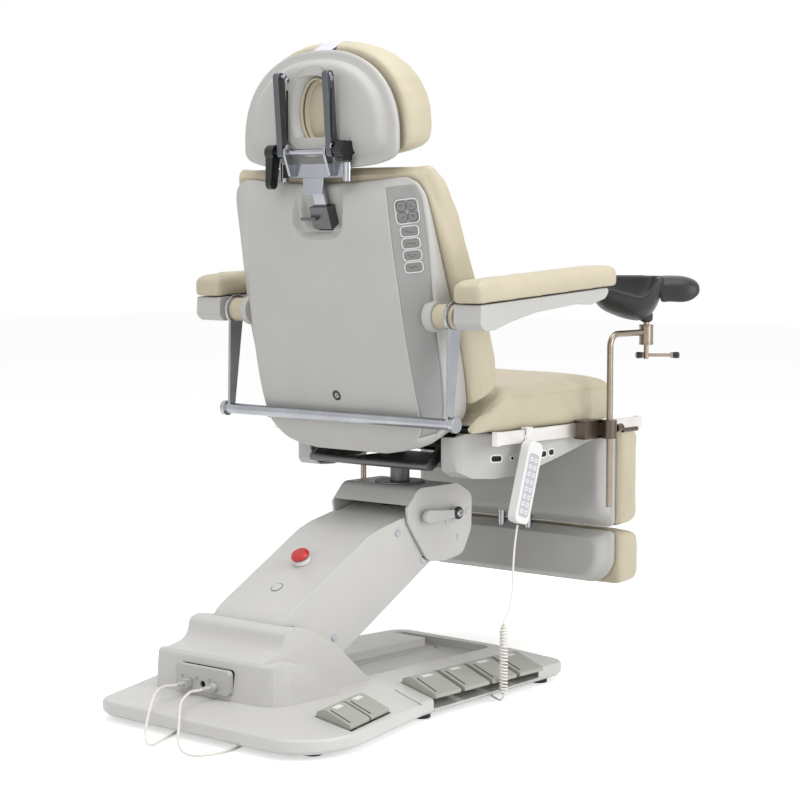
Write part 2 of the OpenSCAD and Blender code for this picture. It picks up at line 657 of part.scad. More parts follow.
// Cushion: a side profile carried across its width, drawn in at both sides and crowned at the middle
// stations are [share of the half width, how far the profile is drawn in, push of the face]
stations = [[-1, 13, 0], [-0.985, 5, 1], [-0.94, 0, 2], [-0.6, 0, 5], [0, 0, 6], [0.6, 0, 5], [0.94, 0, 2],
    [0.985, 5, 1], [1, 13, 0]];
function drawn_in(corners, d) = let (p = shrink([for (c = corners) [c[0], c[1]]], d))
    rounded([for (i = [0:len(p) - 1]) [p[i][0], p[i][1], max(corners[i][2] - d, 2)]], 4);
module cushion_x(half_w, corners, face, dir) {
    loft([for (s = stations)
        [for (q = drawn_in(corners, s[1])) let (k = q * dir > face ? 1 : 0)
            [s[0] * half_w, q[0] + dir[0] * s[2] * k, q[1] + dir[1] * s[2] * k]]]);
}
seat_corners = [
    [-seat_front, seat_low_z, 8], [54, seat_low_z, 6], [54, seat_top_z - 42, 5], [-4, seat_top_z - 7, 16],
    [-150, seat_top_z - 4, 200], [-290, seat_top_z + 6, 120], [-seat_front + 6, seat_top_z - 4, 26]];
module seat_cushion() {
    color(leather) cushion_x(cushion_half_w, seat_corners, seat_top_z - 30, [0, 1]);
    // Ears that run back under the sides of the back cushion
    color(leather) both() slab_x(262, 282, [[40, seat_low_z + 2], [116, seat_low_z + 2], [116, 535], [56, 564], [40, 564]]);
}

// Leg support clamps on both rails: a jaw round the rail and a barrel for the rod
clamp_y = -236;
clamp_half_len = 32;
barrel_y = -266;
barrel_x = 338;
barrel_d = 30;
module support_clamps() {
    outer = rail_x + rail_t + gap;
    color(nickel) both() difference() {
        union() {
            box([outer, clamp_y - clamp_half_len, rail_z - 6], [outer + 22, clamp_y + clamp_half_len, rail_z + rail_h + 6]);
            box([rail_x - 2, clamp_y - 24, rail_z + rail_h + gap], [outer + 4, clamp_y + 24, rail_z + rail_h + 6]);
            box([rail_x - 2, clamp_y - 24, rail_z - 6], [outer + 4, clamp_y + 24, rail_z - gap]);
            box([outer + 6, barrel_y - 9, rail_z], [barrel_x, barrel_y + 14, rail_z + rail_h]);
            rod_z(barrel_d, rail_z - 6, rail_z + rail_h + 6, barrel_x, barrel_y);
        }
        rod_z(rod_d + 2 * fit, rail_z - 20, rail_z + rail_h + 20, barrel_x, barrel_y);
        rod_y(8 + 2 * fit, barrel_y - 30, barrel_y, barrel_x, rail_z + rail_h / 2, coarse);
    }
}
rod_low_z = 348;
bend_r = 26;
collar_y = -395;
collar_d = 29;
collar_h = 42;
collar_z = rod_top_z - 26;
neck_d = 12;
module support_rod() {
    color(nickel) {
        rod_z(rod_d, rod_low_z, rod_top_z - bend_r, barrel_x, barrel_y);
        translate([barrel_x, barrel_y - bend_r, rod_top_z - bend_r]) rotate([0, -90, 0])
            rotate_extrude(angle = 90, $fn = fine) translate([bend_r, 0]) circle(d = rod_d, $fn = coarse);
        difference() {
            union() {
                rod_y(rod_d, collar_y, barrel_y - bend_r, barrel_x, rod_top_z);
                rod_z(collar_d, collar_z, collar_z + collar_h, barrel_x, collar_y);
            }
            rod_z(neck_d + 2 * fit, rod_top_z - 4, collar_z + collar_h + over, barrel_x, collar_y);
            rod_z(10 + 2 * fit, collar_z - over, rod_top_z - 8, barrel_x, collar_y);
        }
    }
}
// T-handled screw under the collar
handle_turn = 49.2;
handle_long = 69;
handle_short = 21;
grip_d = 12;
module support_screw() {
    color(nickel) {
        rod_z(10, collar_z - 30, rod_top_z - 9, barrel_x, collar_y, coarse);
        translate([barrel_x, collar_y, collar_z - 22]) rotate([0, 0, handle_turn]) {
            rod_y(7, -handle_long + 2, handle_short - 2, 0, 0, coarse);
            color(black) rod_y(grip_d, -handle_long, -handle_long + 18, 0, 0, coarse);
            color(black) rod_y(grip_d, 6, handle_short, 0, 0, coarse);
        }
    }
}
module clamp_lever() {
    color(nickel) {
        rod_y(8, barrel_y - barrel_d / 2 - 26, barrel_y - barrel_d / 2 + 6, barrel_x, rail_z + rail_h / 2, coarse);
        rod_y(18, barrel_y - barrel_d / 2 - 26, barrel_y - barrel_d / 2 - 6, barrel_x, rail_z + rail_h / 2, coarse);
        rod_y(10, barrel_y - barrel_d / 2 - 76, barrel_y - barrel_d / 2 - 24, barrel_x + 4, rail_z + rail_h / 2 - 5, coarse);
    }
}

// Cradle: a saddle from a formula. u runs across the width, v from the near edge to the far edge
cradle_n = 14;
cradle_m = 6;
cradle_depth = 118;
cradle_turn = 40.8;
cradle_top = 822;
cradle_belly = 733;
cradle_bow = 5;
socket_deep = 8;
function smooth(t) = let (s = max(0, min(1, t))) s * s * (3 - 2 * s);
// Height of the near edge: it sags on the knee side, crests, then drops to the wing
function near_edge(u) = u < 0.52
    ? cradle_top - 18 - 14 * sin(180 * smooth(u / 0.5)) + 18 * smooth((u - 0.42) / 0.1)
    : cradle_top - 48 * smooth((u - 0.54) / 0.08);
function cradle_z(u, v) =
    let (edge = near_edge(u) * (1 - v) + cradle_top * v,
         sag = (cradle_top - cradle_belly - 8) * sin(180 * min(1, max(0, v * 0.86 + 0.1))) * (1 - smooth((u - 0.36) / 0.22))
             * (1 - 0.45 * smooth((0.3 - u) / 0.3)))
    max(cradle_belly, edge - sag);
function cradle_half_depth(u) = cradle_depth / 2 * (1 - 0.28 * smooth((u - 0.5) / 0.12))
    * sqrt(max(0.2, 1 - pow(2 * u - 1, 8)));
function cradle_point(u, v, d) = [(0.5 - u) * (cradle_w - 2 * cradle_bow * pow(2 * v - 1, 2)),
    (0.5 - v) * 2 * cradle_half_depth(u), cradle_z(u, v) - d];
module cradle() {
    n = cradle_m + 1;
    color(black) translate([-barrel_x, collar_y, 0]) rotate([0, 0, cradle_turn])
        loft([for (i = [0:cradle_n]) let (u = i / cradle_n) concat(
            [for (j = [cradle_m:-1:0]) cradle_point(u, j / cradle_m, 0)],
            [for (j = [0:cradle_m]) cradle_point(u, j / cradle_m, cradle_t)])]);
    color(nickel) rod_z(neck_d, rod_top_z - 3, cradle_z(0.5, 0.5) - 2 * cradle_t, -barrel_x, collar_y, coarse);
    // Twelve-sided socket moulded under the cradle, which holds the stem
    color(black) translate([-barrel_x, collar_y, cradle_z(0.5, 0.5) - 2 * cradle_t - socket_deep])
        rotate([0, 0, cradle_turn / 6]) cylinder(d = 2 * neck_d, h = 1.5 * cradle_t + socket_deep, $fn = 12);
}

// Handset hung on the right rail
handset_t = 20;
handset_tilt = 18;
handset_y = -44;
handset_top = 498;
module handset() {
    outer = rail_x + rail_t + gap;
    color(white) {
        translate([-outer - handset_t - 2, handset_y, handset_top]) rotate([handset_tilt, 0, 0])
            slab_x(0, handset_t, rounded([[-handset_w / 2, -handset_len, 12], [handset_w / 2, -handset_len, 12],
                [handset_w / 2, 0, 14], [-handset_w / 2, 0, 14]]));
        box([-outer - 4, handset_y - 10, rail_z - 4], [-outer, handset_y + 10, rail_z + rail_h + 4]);
        box([-outer, handset_y - 10, rail_z + rail_h + gap], [-rail_x + 1, handset_y + 10, rail_z + rail_h + 4]);
    }
}

// Backrest, drawn upright and leaned back about its hinge. n is depth behind the hinge, t height above it
board_n = -59;
// Rounding of the shell's outer edges, and the least height of its rim above the board
shell_round = 8;
shell_rim = 1.5;
function back_place(n, t) = [back_y + n * cos(back_lean) + t * sin(back_lean),
    back_z - n * sin(back_lean) + t * cos(back_lean)];
module on_back() { translate([0, back_y, back_z]) rotate([-back_lean, 0, 0]) children(); }
// Shell sections: [t, half width, edge depth, panel depth, panel half width]
shell_rows = [
    [-22, 128, 30, 44, 96], [-8, 188, 22, 46, 160], [20, 222, 15, 48, 192], [53, 238, 9, 49, 206],
    [130, 250, 2, 46, 207], [227, back_half_w, -8, 34, 203], [320, back_half_w, -24, 18, 198],
    [408, 252, -40, -2, 190], [480, 244, -50, -26, 182], [515, 228, -54, -42, 168], [532, 196, -56, -50, 140]];
function shell_ring(r, d) = let (w = r[1] - d, e = max(r[2] - d, board_n + shell_rim),
    p = max(r[3] - d, e + 1), q = r[4] - d / 2,
    low = board_n - (d > 0 ? over : 0), side = max(e - shell_round, (e + low) / 2))
    [for (s = [[-w, low], [-w, side], [-w + shell_round / 2, e], [-q - shell_round, max(p - 5, e + 0.5)],
        [-q + shell_round / 2, p], [q - shell_round / 2, p], [q + shell_round, max(p - 5, e + 0.5)],
        [w - shell_round / 2, e], [w, side], [w, low]])
        [s[0], s[1], r[0]]];
pocket_half_w = 60;
pocket_n = -46;
pocket_t = 405;
module shell_skin() {
    difference() {
        loft([for (r = shell_rows) [for (k = [9:-1:0]) shell_ring(r, 0)[k]]]);
        loft([for (i = [0:len(shell_rows) - 3]) let (r = shell_rows[i],
            t = i == 0 ? r[0] + shell_wall : r[0])
            [for (k = [9:-1:0]) let (q = shell_ring(r, shell_wall)[k]) [q[0], q[1], t]]]);
    }
}
// Region of the sloping facet on the right, where the control panel is let into the shell
panel_rows = [for (i = [2:9]) shell_rows[i]];
module panel_band(grow) {
    slab_y(-70, 80, concat(
        [for (r = panel_rows) [-r[1] + 6 - grow, r[0] + (r[0] < 60 ? -grow : r[0] > 500 ? grow : 0)]],
        [for (i = [len(panel_rows) - 1:-1:0]) let (r = panel_rows[i])
            [-r[4] + 2 + grow, r[0] + (r[0] < 60 ? -grow : r[0] > 500 ? grow : 0)]]));
}
module back_shell() {
    color(plastic) on_back() difference() {
        union() {
            difference() {
                shell_skin();
                box([-pocket_half_w, pocket_n, pocket_t], [pocket_half_w, 40, 560]);
            }
            // Lining of the bracket pocket
            intersection() {
                difference() {
                    box([-pocket_half_w - shell_wall, pocket_n - shell_wall, pocket_t - shell_wall],
                        [pocket_half_w + shell_wall, 40, 520]);
                    box([-pocket_half_w, pocket_n, pocket_t], [pocket_half_w, 60, 540]);
                }
                loft([for (r = shell_rows) [for (k = [9:-1:0]) shell_ring(r, 0)[k]]]);
            }
        }
        // Slot in the pocket's floor for the stem
        box([-stem_w / 2 - 1, stem_n - stem_t / 2 - 1, pocket_t - 10], [stem_w / 2 + 1, stem_n + stem_t / 2 + 1, pocket_t + 2]);
        panel_band(gap);
        // Open lower front for the hinge ears of the seat
        box([-member_x - member_t - 6, board_n - over, -40], [member_x + member_t + 6, 22, 34]);
        rod_y(10, 20, 80, 0, 95, coarse);
    }
}
module back_frame() {
    color(steel) on_back() {
        difference() {
            union() {
                slab_y(board_n + 0.3, board_n + 9, rounded([[-222, 40, 12], [222, 40, 12], [240, 130, 60], [240, 370, 60],
                    [184, 474, 40], [-184, 474, 40], [-240, 370, 60], [-240, 130, 60]]));
                both() box([member_x - 18, board_n + 8.7, 20], [member_x - 3, board_n + 26, 480]);
                both() slab_x(member_x - 16, member_x - 4, rounded([[board_n + 10, 20, 0],
                    [-4, -14, 10], [14, -4, 10], [14, 12, 10], [board_n + 26, 70, 0], [board_n + 10, 70, 0]]));
                box([-member_x + 4, board_n + 8.7, 285], [member_x - 4, board_n + 20, 315]);
                box([-member_x + 4, board_n + 8.7, 90], [member_x - 4, board_n + 20, 120]);
            }
            both() rod_x(pin_d + 2 * fit, member_x - 30, member_x, 0, 0);
        }
    }
}
// Back cushion sections: [t, share of the half width, how far the rear is drawn in, depth of the face,
// how much higher the face lies than the rear]
back_cushion_share = 0.985;
back_rows = [
    [38, 0.955, 6, 62, 22], [43, 0.985, 1, 74, 21], [56, 1, 0, 82, 17], [120, 1, 0, 93, 5], [200, 1, 0, 96, 0],
    [290, 1, 0, 86, 0], [420, 1, 0, 73, 0], [490, 0.985, 0, 58, 0], [522, 0.95, 0, 44, 0], [530, 0.935, 8, 39, 0],
    [536, 0.905, 22, 34, 0]];
// Its side swells forward: [share of the half width, share of the depth]
side_shares = [[0.884, 0], [0.954, 0.17], [0.993, 0.42], [1, 0.64], [0.983, 0.85], [0.925, 0.965], [0.86, 1],
    [0.45, 1.02]];
module back_cushion() {
    w = cushion_half_w * back_cushion_share;
    rear = board_n - gap;
    deep = back_cushion_t / 84;
    color(leather) on_back() loft([for (r = back_rows) let (d = r[3] * deep - r[2]) concat(
        [for (q = side_shares) [-q[0] * r[1] * w, rear - r[2] - q[1] * d, r[0] + q[1] * r[4]]],
        [[0, rear - r[2] - 1.03 * d, r[0] + r[4]]],
        [for (k = [len(side_shares) - 1:-1:0]) let (q = side_shares[k])
            [q[0] * r[1] * w, rear - r[2] - q[1] * d, r[0] + q[1] * r[4]]])]);
}

// Bosses on the sides of the backrest that carry the armrests and the roll bar
boss_y = 180;
boss_z = 752;
boss_d = 48;
boss_x0 = back_half_w + gap;
boss_x1 = 304;
module arm_bosses() {
    color(leather) both() {
        rod_x(boss_d, boss_x0, boss_x1, boss_y, boss_z);
        rod_x(18, boss_x1, boss_x1 + 26, boss_y, boss_z);
    }
}

// Control panel let into the right of the backrest, with its keys
function facet(t) = let (a = [for (r = shell_rows) r[0]],
    i = max([for (k = [0:len(a) - 2]) if (a[k] <= t) k]), s = (t - a[i]) / (a[i + 1] - a[i]),
    r = shell_rows[i] * (1 - s) + shell_rows[i + 1] * s) [[-r[1] + 4, r[2]], [-r[4] - 8, r[3] - 5]];
// Stands children on the facet at height t, at a share of its width from the outer edge
module on_facet(t, share) {
    f = facet(t);
    p = f[0] * (1 - share) + f[1] * share;
    d = f[1] - f[0];
    translate([p[0], p[1], t]) rotate([0, 0, atan2(d[1], d[0])]) children();
}
key_rise = 1.6;
module control_panel() {
    color([0.42, 0.43, 0.44]) on_back() intersection() {
        shell_skin();
        panel_band(0);
    }
    color([0.6, 0.6, 0.6]) on_back() {
        for (t = [445, 468]) for (u = [0.3, 0.62]) on_facet(t, u) box([-8, -1, -9], [8, key_rise, 9]);
        for (t = [415, 392, 369, 346]) on_facet(t, 0.5) box([-14, -1, -8], [14, key_rise, 8]);
    }
}

// Clamp in the backrest's pocket that holds the headrest bracket's stem, along the lean of the back
stem_w = 30;
stem_t = 8;
stem_n = -35;
stem_front = stem_n - stem_t / 2;
stem_rear = stem_n + stem_t / 2;
stem_low = 340;
stem_high = 505;
clamp_low = 425;
clamp_high = 468;
module stem(grow, t0, t1) {
    on_back() box([-stem_w / 2 - grow, stem_n - stem_t / 2 - grow, t0], [stem_w / 2 + grow, stem_n + stem_t / 2 + grow, t1]);
}
module head_clamp() {
    color(chrome) difference() {
        on_back() box([-24, pocket_n + gap, clamp_low], [24, stem_n + 13, clamp_high]);
        stem(fit, clamp_low - over, clamp_high + over);
    }
    color(chrome) on_back() {
        rod_y(8, stem_n + 13, stem_n + 22, 8, clamp_low + 22, coarse);
        rod_x(6, 6, 44, stem_n + 20, clamp_low + 22, coarse);
    }
}

// T bracket: stem, neck, cross bar with end posts, and the two flanges that hold the cross rod
cross_y = 274;
cross_z = 1068;
cross_d = 12;
bar_low = 1018;
bar_high = 1045;
t_y = 252;
flange_x = 50;
module t_bracket() {
    color(chrome) {
        slab_x(-stem_w / 2, stem_w / 2, [back_place(stem_front, stem_low), back_place(stem_rear, stem_low),
            back_place(stem_rear, stem_high - 12), [t_y + stem_t * 5 / 8, bar_low - 14],
            [t_y + stem_t * 5 / 8, bar_low + 4], [t_y - stem_t * 5 / 8, bar_low + 4],
            [t_y - stem_t * 5 / 8, bar_low - 14], back_place(stem_front, stem_high - 6)]);
        difference() {
            union() {
                box([-84, t_y - 7, bar_low], [84, t_y + 8, bar_high]);
                both() rod_z(18, bar_low - 8, bar_high + 2, 84, t_y);
                both() slab_x(flange_x, flange_x + 6, rounded([[t_y, bar_low + 2, 0], [cross_y - 4, bar_low + 2, 6],
                    [cross_y + 12, cross_z - 6, 10], [cross_y + 12, cross_z + 12, 10], [cross_y - 11, cross_z + 12, 10],
                    [cross_y - 11, bar_high, 0], [t_y, bar_high, 0]]));
            }
            rod_x(cross_d + 2 * fit, -90, 90, cross_y, cross_z);
        }
        rod_x(cross_d, -88, 96, cross_y, cross_z);
    }
}

// Chrome links from the cross rod up to the headrest's hinge
top_y = 288;
link_len = 146;
top_z = cross_z + link_len;
link_in = 58;
link_out = 72;
module head_links() {
    color(chrome) both() difference() {
        slab_x(link_in, link_out, rounded([[cross_y - 9, cross_z - 12, 8], [cross_y + 11, cross_z - 12, 8],
            [top_y + 10, top_z + 8, 8], [top_y - 10, top_z + 8, 8]]));
        slab_x(link_in + 3, link_out - 3, [[cross_y - 20, cross_z + 14], [cross_y + 3, cross_z + 14],
            [top_y + 2, top_z - 14], [top_y - 20, top_z - 14]]);
        rod_x(cross_d + 2 * fit, link_in - over, link_out + over, cross_y, cross_z);
        rod_x(8 + 2 * fit, link_in - over, link_out + over, top_y, top_z);
    }
}
module cam_lever() {
    color(black) difference() {
        union() {
            rod_x(30, 82, 104, cross_y, cross_z);
            hull() {
                rod_x(22, 84, 104, cross_y, cross_z, 20);
                rod_x(20, 88, 102, cross_y + 4, cross_z - 62, 20);
            }
        }
        rod_x(cross_d + 2 * fit, 70, 110, cross_y, cross_z);
    }
}
module star_knob() {
    color(black) difference() {
        union() {
            rod_x(34, -104, -82, cross_y, cross_z);
            for (a = [0:60:300]) rod_x(12, -104, -84, cross_y + 16 * cos(a), cross_z + 16 * sin(a), 16);
        }
        rod_x(cross_d + 2 * fit, -90, -70, cross_y, cross_z);
    }
}

// Headrest outline: a dome with a flatter foot, n points
dome_n = 32;
function sgn_pow(v, p) = sign(v) * pow(abs(v), p);
function dome(w, z0, zc, z1) = [for (i = [0:dome_n - 1]) let (a = 360 * i / dome_n)
    [w * sgn_pow(cos(a), 0.86), sin(a) >= 0 ? zc + (z1 - zc) * sgn_pow(sin(a), 0.92) : zc + (zc - z0) * sgn_pow(sin(a), 0.5)]];
head_shell_back = 260;
head_shell_front = 224;
hole_z = 1147;
function hole_outline(d) = [for (i = [0:coarse - 1]) let (a = 360 * i / coarse)
    [(face_hole_w / 2 - d) * cos(a), hole_z + (face_hole_h / 2 - d) * sin(a)]];
function at_y(pts, y, dz = 0) = [for (p = pts) [p[0], y, p[1] + dz]];
module headrest_shell() {
    color(plastic) difference() {
        loft([
            at_y(dome(166, 1096, 1118, 1236), head_shell_back),
            at_y(dome(172, 1090, 1112, 1242), head_shell_back - 3),
            at_y(dome(182, 1073, 1104, 1250), head_shell_back - 9),
            at_y(dome(190, 1057, 1098, 1256), head_shell_back - 14),
            at_y(dome(200, 1042, 1095, 1262), head_shell_back - 22),
            at_y(dome(203, 1041, 1095, 1266), head_shell_front)]);
        loft([
            at_y(dome(164, 1102, 1122, 1232), head_shell_back - shell_wall),
            at_y(dome(196, 1046, 1095, 1257), head_shell_back - 24),
            at_y(dome(198, 1046, 1095, 1260), head_shell_front - over)]);
        slab_y(head_shell_back - 40, head_shell_back + over, hole_outline(0));
    }
    // Hinge blocks at the top of the links
    color(chrome) both() difference() {
        slab_x(link_in - 12, link_in - gap, rounded([[head_shell_back - 1, top_z - 14, 0], [top_y + 8, top_z - 8, 7],
            [top_y + 8, top_z + 8, 7], [head_shell_back - 1, top_z + 14, 0]]));
        rod_x(8 + 2 * fit, link_in - 20, link_in + over, top_y, top_z);
    }
    color(chrome) both() rod_x(8, link_in - 12, link_out + 2, top_y, top_z);
    // Board behind the cushion, with the face opening
    color(plastic) difference() {
        slab_y(head_shell_front, head_shell_front + 8, dome(199.5, 1044, 1095, 1261));
        slab_y(head_shell_front - over, head_shell_front + 10, hole_outline(0));
    }
}
module headrest_cushion() {
    f = head_shell_front - gap;
    t = head_cushion_t;
    color(leather) difference() {
        loft([
            at_y(dome(head_cushion_half_w - 12, 1067, 1104, head_crown_z - 12), f),
            at_y(dome(head_cushion_half_w - 2, 1067, 1106, head_crown_z - 2), f - t * 0.14),
            at_y(dome(head_cushion_half_w, 1070, 1110, head_crown_z), f - t * 0.4),
            at_y(dome(head_cushion_half_w - 3, 1076, 1114, head_crown_z - 3), f - t * 0.7),
            at_y(dome(head_cushion_half_w - 16, 1088, 1122, head_crown_z - 17), f - t * 0.93),
            at_y(dome(head_cushion_half_w - 44, 1110, 1132, head_crown_z - 44), f - t)]);
        slab_y(f - t - 20, f + over, hole_outline(0));
    }
}
module face_plug() {
    color(leather) slab_y(head_shell_front - head_cushion_t + 6, head_shell_back - 6, hole_outline(gap));
}

// Leg section: shell with hinge knuckles, and its cushion
leg_low = 500 - leg_h;
leg_face_y = -390;
leg_shell_d = 36;
function panel_outline(w, z0, z1, r0, r1) = rounded([[-w, z0, r0], [w, z0, r0], [w, z1, r1], [-w, z1, r1]], 4);
module leg_shell() {
    color(plastic) difference() {
        union() {
            difference() {
                loft([
                    at_y(panel_outline(leg_half_w + 26, leg_low + 4, 496, 20, 12), leg_face_y + 10),
                    at_y(panel_outline(leg_half_w + 26, leg_low + 4, 496, 20, 12), leg_face_y)]);
                slab_y(leg_face_y - over, leg_face_y + 7, [[-leg_half_w, leg_low + 24], [leg_half_w, leg_low + 24],
                    [leg_half_w, 480], [-leg_half_w, 480]]);
            }
            loft([
                at_y(panel_outline(leg_half_w, leg_low + 8, 470, 24, 60), leg_face_y + leg_shell_d),
                at_y(panel_outline(leg_half_w + 18, leg_low + 5, 490, 24, 60), leg_face_y + leg_shell_d - 14),
                at_y(panel_outline(leg_half_w + 22, leg_low + 5, 492, 20, 30), leg_face_y + 9)]);
        }
        both() box([member_x - 4, leg_face_y - over, 484], [member_x + 34, leg_face_y + 40, 520]);
        // Bores of the slide rods
        for (x = slide_x) rod_z(slide_rod_d + 2 * fit, leg_low - over, 450, x, slide_y);
    }
    color(steel) both() difference() {
        slab_x(member_x + 16, member_x + 28, rounded([[leg_face_y + 0.6, 484, 0], [leg_y + 14, 484, 0],
            [leg_y + 8, leg_z + 8, 7], [leg_y - 8, leg_z + 8, 7]]));
        rod_x(pin_d + 2 * fit, member_x, member_x + 40, leg_y, leg_z);
    }
}
slide_x = [-48, 26];
slide_y = leg_face_y - 0.1 + 16;
function leg_corners(z0, z1) = let (f = leg_face_y - gap)
    [[f - leg_cushion_t, z0 + 6, 24], [f, z0, 8], [f, z1, 8], [f - leg_cushion_t, z1 - 2, 24]];
leg_cushion_share = 0.993;
module leg_cushion() {
    color(leather) cushion_x(cushion_half_w * leg_cushion_share, leg_corners(leg_low, 500), 440, [-1, 0]);
}
foot_high = leg_low - leg_gap;
foot_low = foot_high - foot_section_h;
module foot_shell() {
    color(plastic) difference() {
        loft([
            at_y(panel_outline(leg_half_w - 10, foot_low + 16, foot_high - 6, 40, 16), leg_face_y + leg_shell_d),
            at_y(panel_outline(leg_half_w + 12, foot_low + 9, foot_high - 2, 56, 16), leg_face_y + leg_shell_d - 12),
            at_y(panel_outline(leg_half_w + 26, foot_low + 6, foot_high - 1, 60, 12), leg_face_y + 0)]);
        for (x = slide_x) rod_z(slide_rod_d + 2 * fit, foot_low + 30, foot_high + 10, x, slide_y);
    }
    color(chrome) for (x = slide_x) rod_z(slide_rod_d, foot_low + 30, 430, x, slide_y);
}
module foot_cushion() {
    color(leather) cushion_x(cushion_half_w * leg_cushion_share, leg_corners(foot_low, foot_high), 440, [-1, 0]);
}

// Armrests: a moulded shell on the boss and a pad that rises gently towards the front
arm_x0 = 309;
pad_slope = 3.4;
pad_back = 216;
pad_z = 776;
function pad_under(y) = pad_z + (pad_back - y) * tan(pad_slope);
function arm_shell_side() = rounded([
    [208, pad_under(208), 4], [210, 740, 10], [196, 727, 14], [166, 729, 20], [120, 742, 60], [40, 758, 200],
    [-98, 771, 60], [-142, 768, 20], [-190, 780, 16], [-206, pad_under(-206), 6]], 4);
module armrest_shell() {
    color(plastic) difference() {
        slab_x(arm_x0 + 4, arm_x0 + arm_pad_w - 6, [for (i = [len(arm_shell_side()) - 1:-1:0]) arm_shell_side()[i]]);
        rod_x(18 + 2 * fit, arm_x0, arm_x0 + 30, boss_y, boss_z);
    }
}
module armrest_pad() {
    color(leather) translate([0, pad_back, pad_z]) rotate([-pad_slope, 0, 0])
        loft([for (s = [[0, 5], [2, 1.5], [6, 0], [arm_pad_t - 16, 0], [arm_pad_t - 6, 3], [arm_pad_t - 1, 10], [arm_pad_t, 17]])
            [for (p = shrink(rounded([[arm_x0, -arm_pad_len, 24], [arm_x0 + arm_pad_w, -arm_pad_len, 24],
                [arm_x0 + arm_pad_w, 0, 16], [arm_x0, 0, 16]], 4), s[1])) [p[0], p[1], s[0] + gap]]]);
}

// Roll bar: two straps hung on the bosses, the bar and its end caps
bar_y = 196;
bar_z = 547;
strap_t = 6;
strap_x = 290;
ring_d = 62;
module roll_bar() {
    both() {
        color(chrome) difference() {
            union() {
                rod_x(ring_d, strap_x, strap_x + strap_t, boss_y, boss_z);
                slab_x(strap_x, strap_x + strap_t, [[boss_y - 16, boss_z - 24], [bar_y - 8, bar_z],
                    [bar_y + 8, bar_z], [boss_y + 20, boss_z - 22]]);
            }
            rod_x(boss_d + 2 * gap, strap_x - over, strap_x + strap_t + over, boss_y, boss_z);
        }
        color(white) rod_x(cap_d, strap_x + strap_t + 6, strap_x + strap_t + 16, bar_y, bar_z);
    }
    color(chrome) rod_x(bar_d, -strap_x - strap_t - 6, strap_x + strap_t + 6, bar_y, bar_z);
}

// Cords. The points are [x, y, z] measured from the swivel axis
function tube_frame(pts, i) = let (k = len(pts), a = pts[max(0, i - 1)], b = pts[min(k - 1, i + 1)]) unit(b - a);
function side_vector(t) = abs(t[2]) > 0.9 ? unit(cross(t, [1, 0, 0])) : unit(cross(t, [0, 0, 1]));
// Rings of a tube that carry one side vector along the path, so that the skin doesn't twist
function carry(v, t) = unit(v - (v * t) * t);
function sides(pts, i = 0, v = [0, 0, 0], out = []) = i == len(pts) ? out
    : let (t = tube_frame(pts, i), w = i == 0 ? side_vector(t) : carry(v, t)) sides(pts, i + 1, w, concat(out, [w]));
module tube(pts, d, n) {
    s = sides(pts);
    loft([for (i = [0:len(pts) - 1]) let (t = tube_frame(pts, i), a = s[i], b = cross(t, a))
        [for (j = [0:n - 1]) let (g = 360 * j / n) pts[i] + d / 2 * (a * cos(g) + b * sin(g))]]);
}
// Points on a smooth curve through the route
function spline(p, n) = [for (i = [0:len(p) - 2]) for (k = [0:n - 1])
    let (t = k / n, a = p[max(0, i - 1)], b = p[i], c = p[i + 1], d = p[min(len(p) - 1, i + 2)])
    0.5 * ((2 * b) + (c - a) * t + (2 * a - 5 * b + 4 * c - d) * t * t + (3 * b - a - 3 * c + d) * t * t * t)];

cord_d = 5;
data_route = [[38, 598.3, 64], [38, 608, 64], [30, 640, 68], [6, 682, 66], [-32, 732, 50], [-70, 778, 24],
    [-92, 794, 8], [-94, 782, 3], [-80, 750, 3], [-66, 712, 4], [-58, 680, 7], [-56, 668, 9]];
supply_route = [[-30, 598.3, 64], [-30, 608, 64], [-38, 638, 66], [-70, 690, 60], [-114, 737, 40], [-156, 779, 16],
    [-190, 795, 5], [-215, 781, 3], [-226, 748, 3], [-228, 713, 4], [-224, 680, 7], [-222, 668, 9]];
module data_cord() { color(white) tube(spline(data_route, 3), cord_d, 8); }
module supply_cord() { color(white) tube(spline(supply_route, 3), cord_d, 8); }

// Handset cord: hangs straight, then a curly stretch down beside the plate, then under it
curl_d = 17;
curl_cord_d = 4;
curls = 23;
curl_rings = 8;
curl_top = [-351, 99, 160];
curl_low = [-351, 99, 14];
hang_route = [[-313, 8, 337], [-313, 12, 322], [-316, 22, 290], [-323, 35, 250], [-333, 50, 212], [-343, 72, 182],
    [-348, 91, 168]];
lead_route = [[-346, 98, 9], [-334, 90, 4], [-312, 80, 5], [-296, 74, 9]];
function curl_points() = [for (i = [0:curls * curl_rings]) let (s = i / (curls * curl_rings), a = 360 * i / curl_rings,
        r = (curl_d - curl_cord_d) / 2 * smooth(s * 12) * smooth((1 - s) * 12))
    curl_top * (1 - s) + curl_low * s + [r * cos(a), r * sin(a), 0]];
// Least gap between the cord's turns: from each ring to those about a turn further on
curl_gap = let (p = curl_points(), n = len(p)) min([for (i = [0:n - 1])
    for (j = [i + curl_rings - 2:i + curl_rings + 2]) if (j < n) norm(p[i] - p[j])]) - curl_cord_d;
echo("Least gap between the curls, mm", curl_gap);
module handset_cord() {
    color(white) tube(concat(spline(hang_route, 3), curl_points(), spline(lead_route, 2), [[-294, 74, 9.4]]),
        curl_cord_d, 6);
}

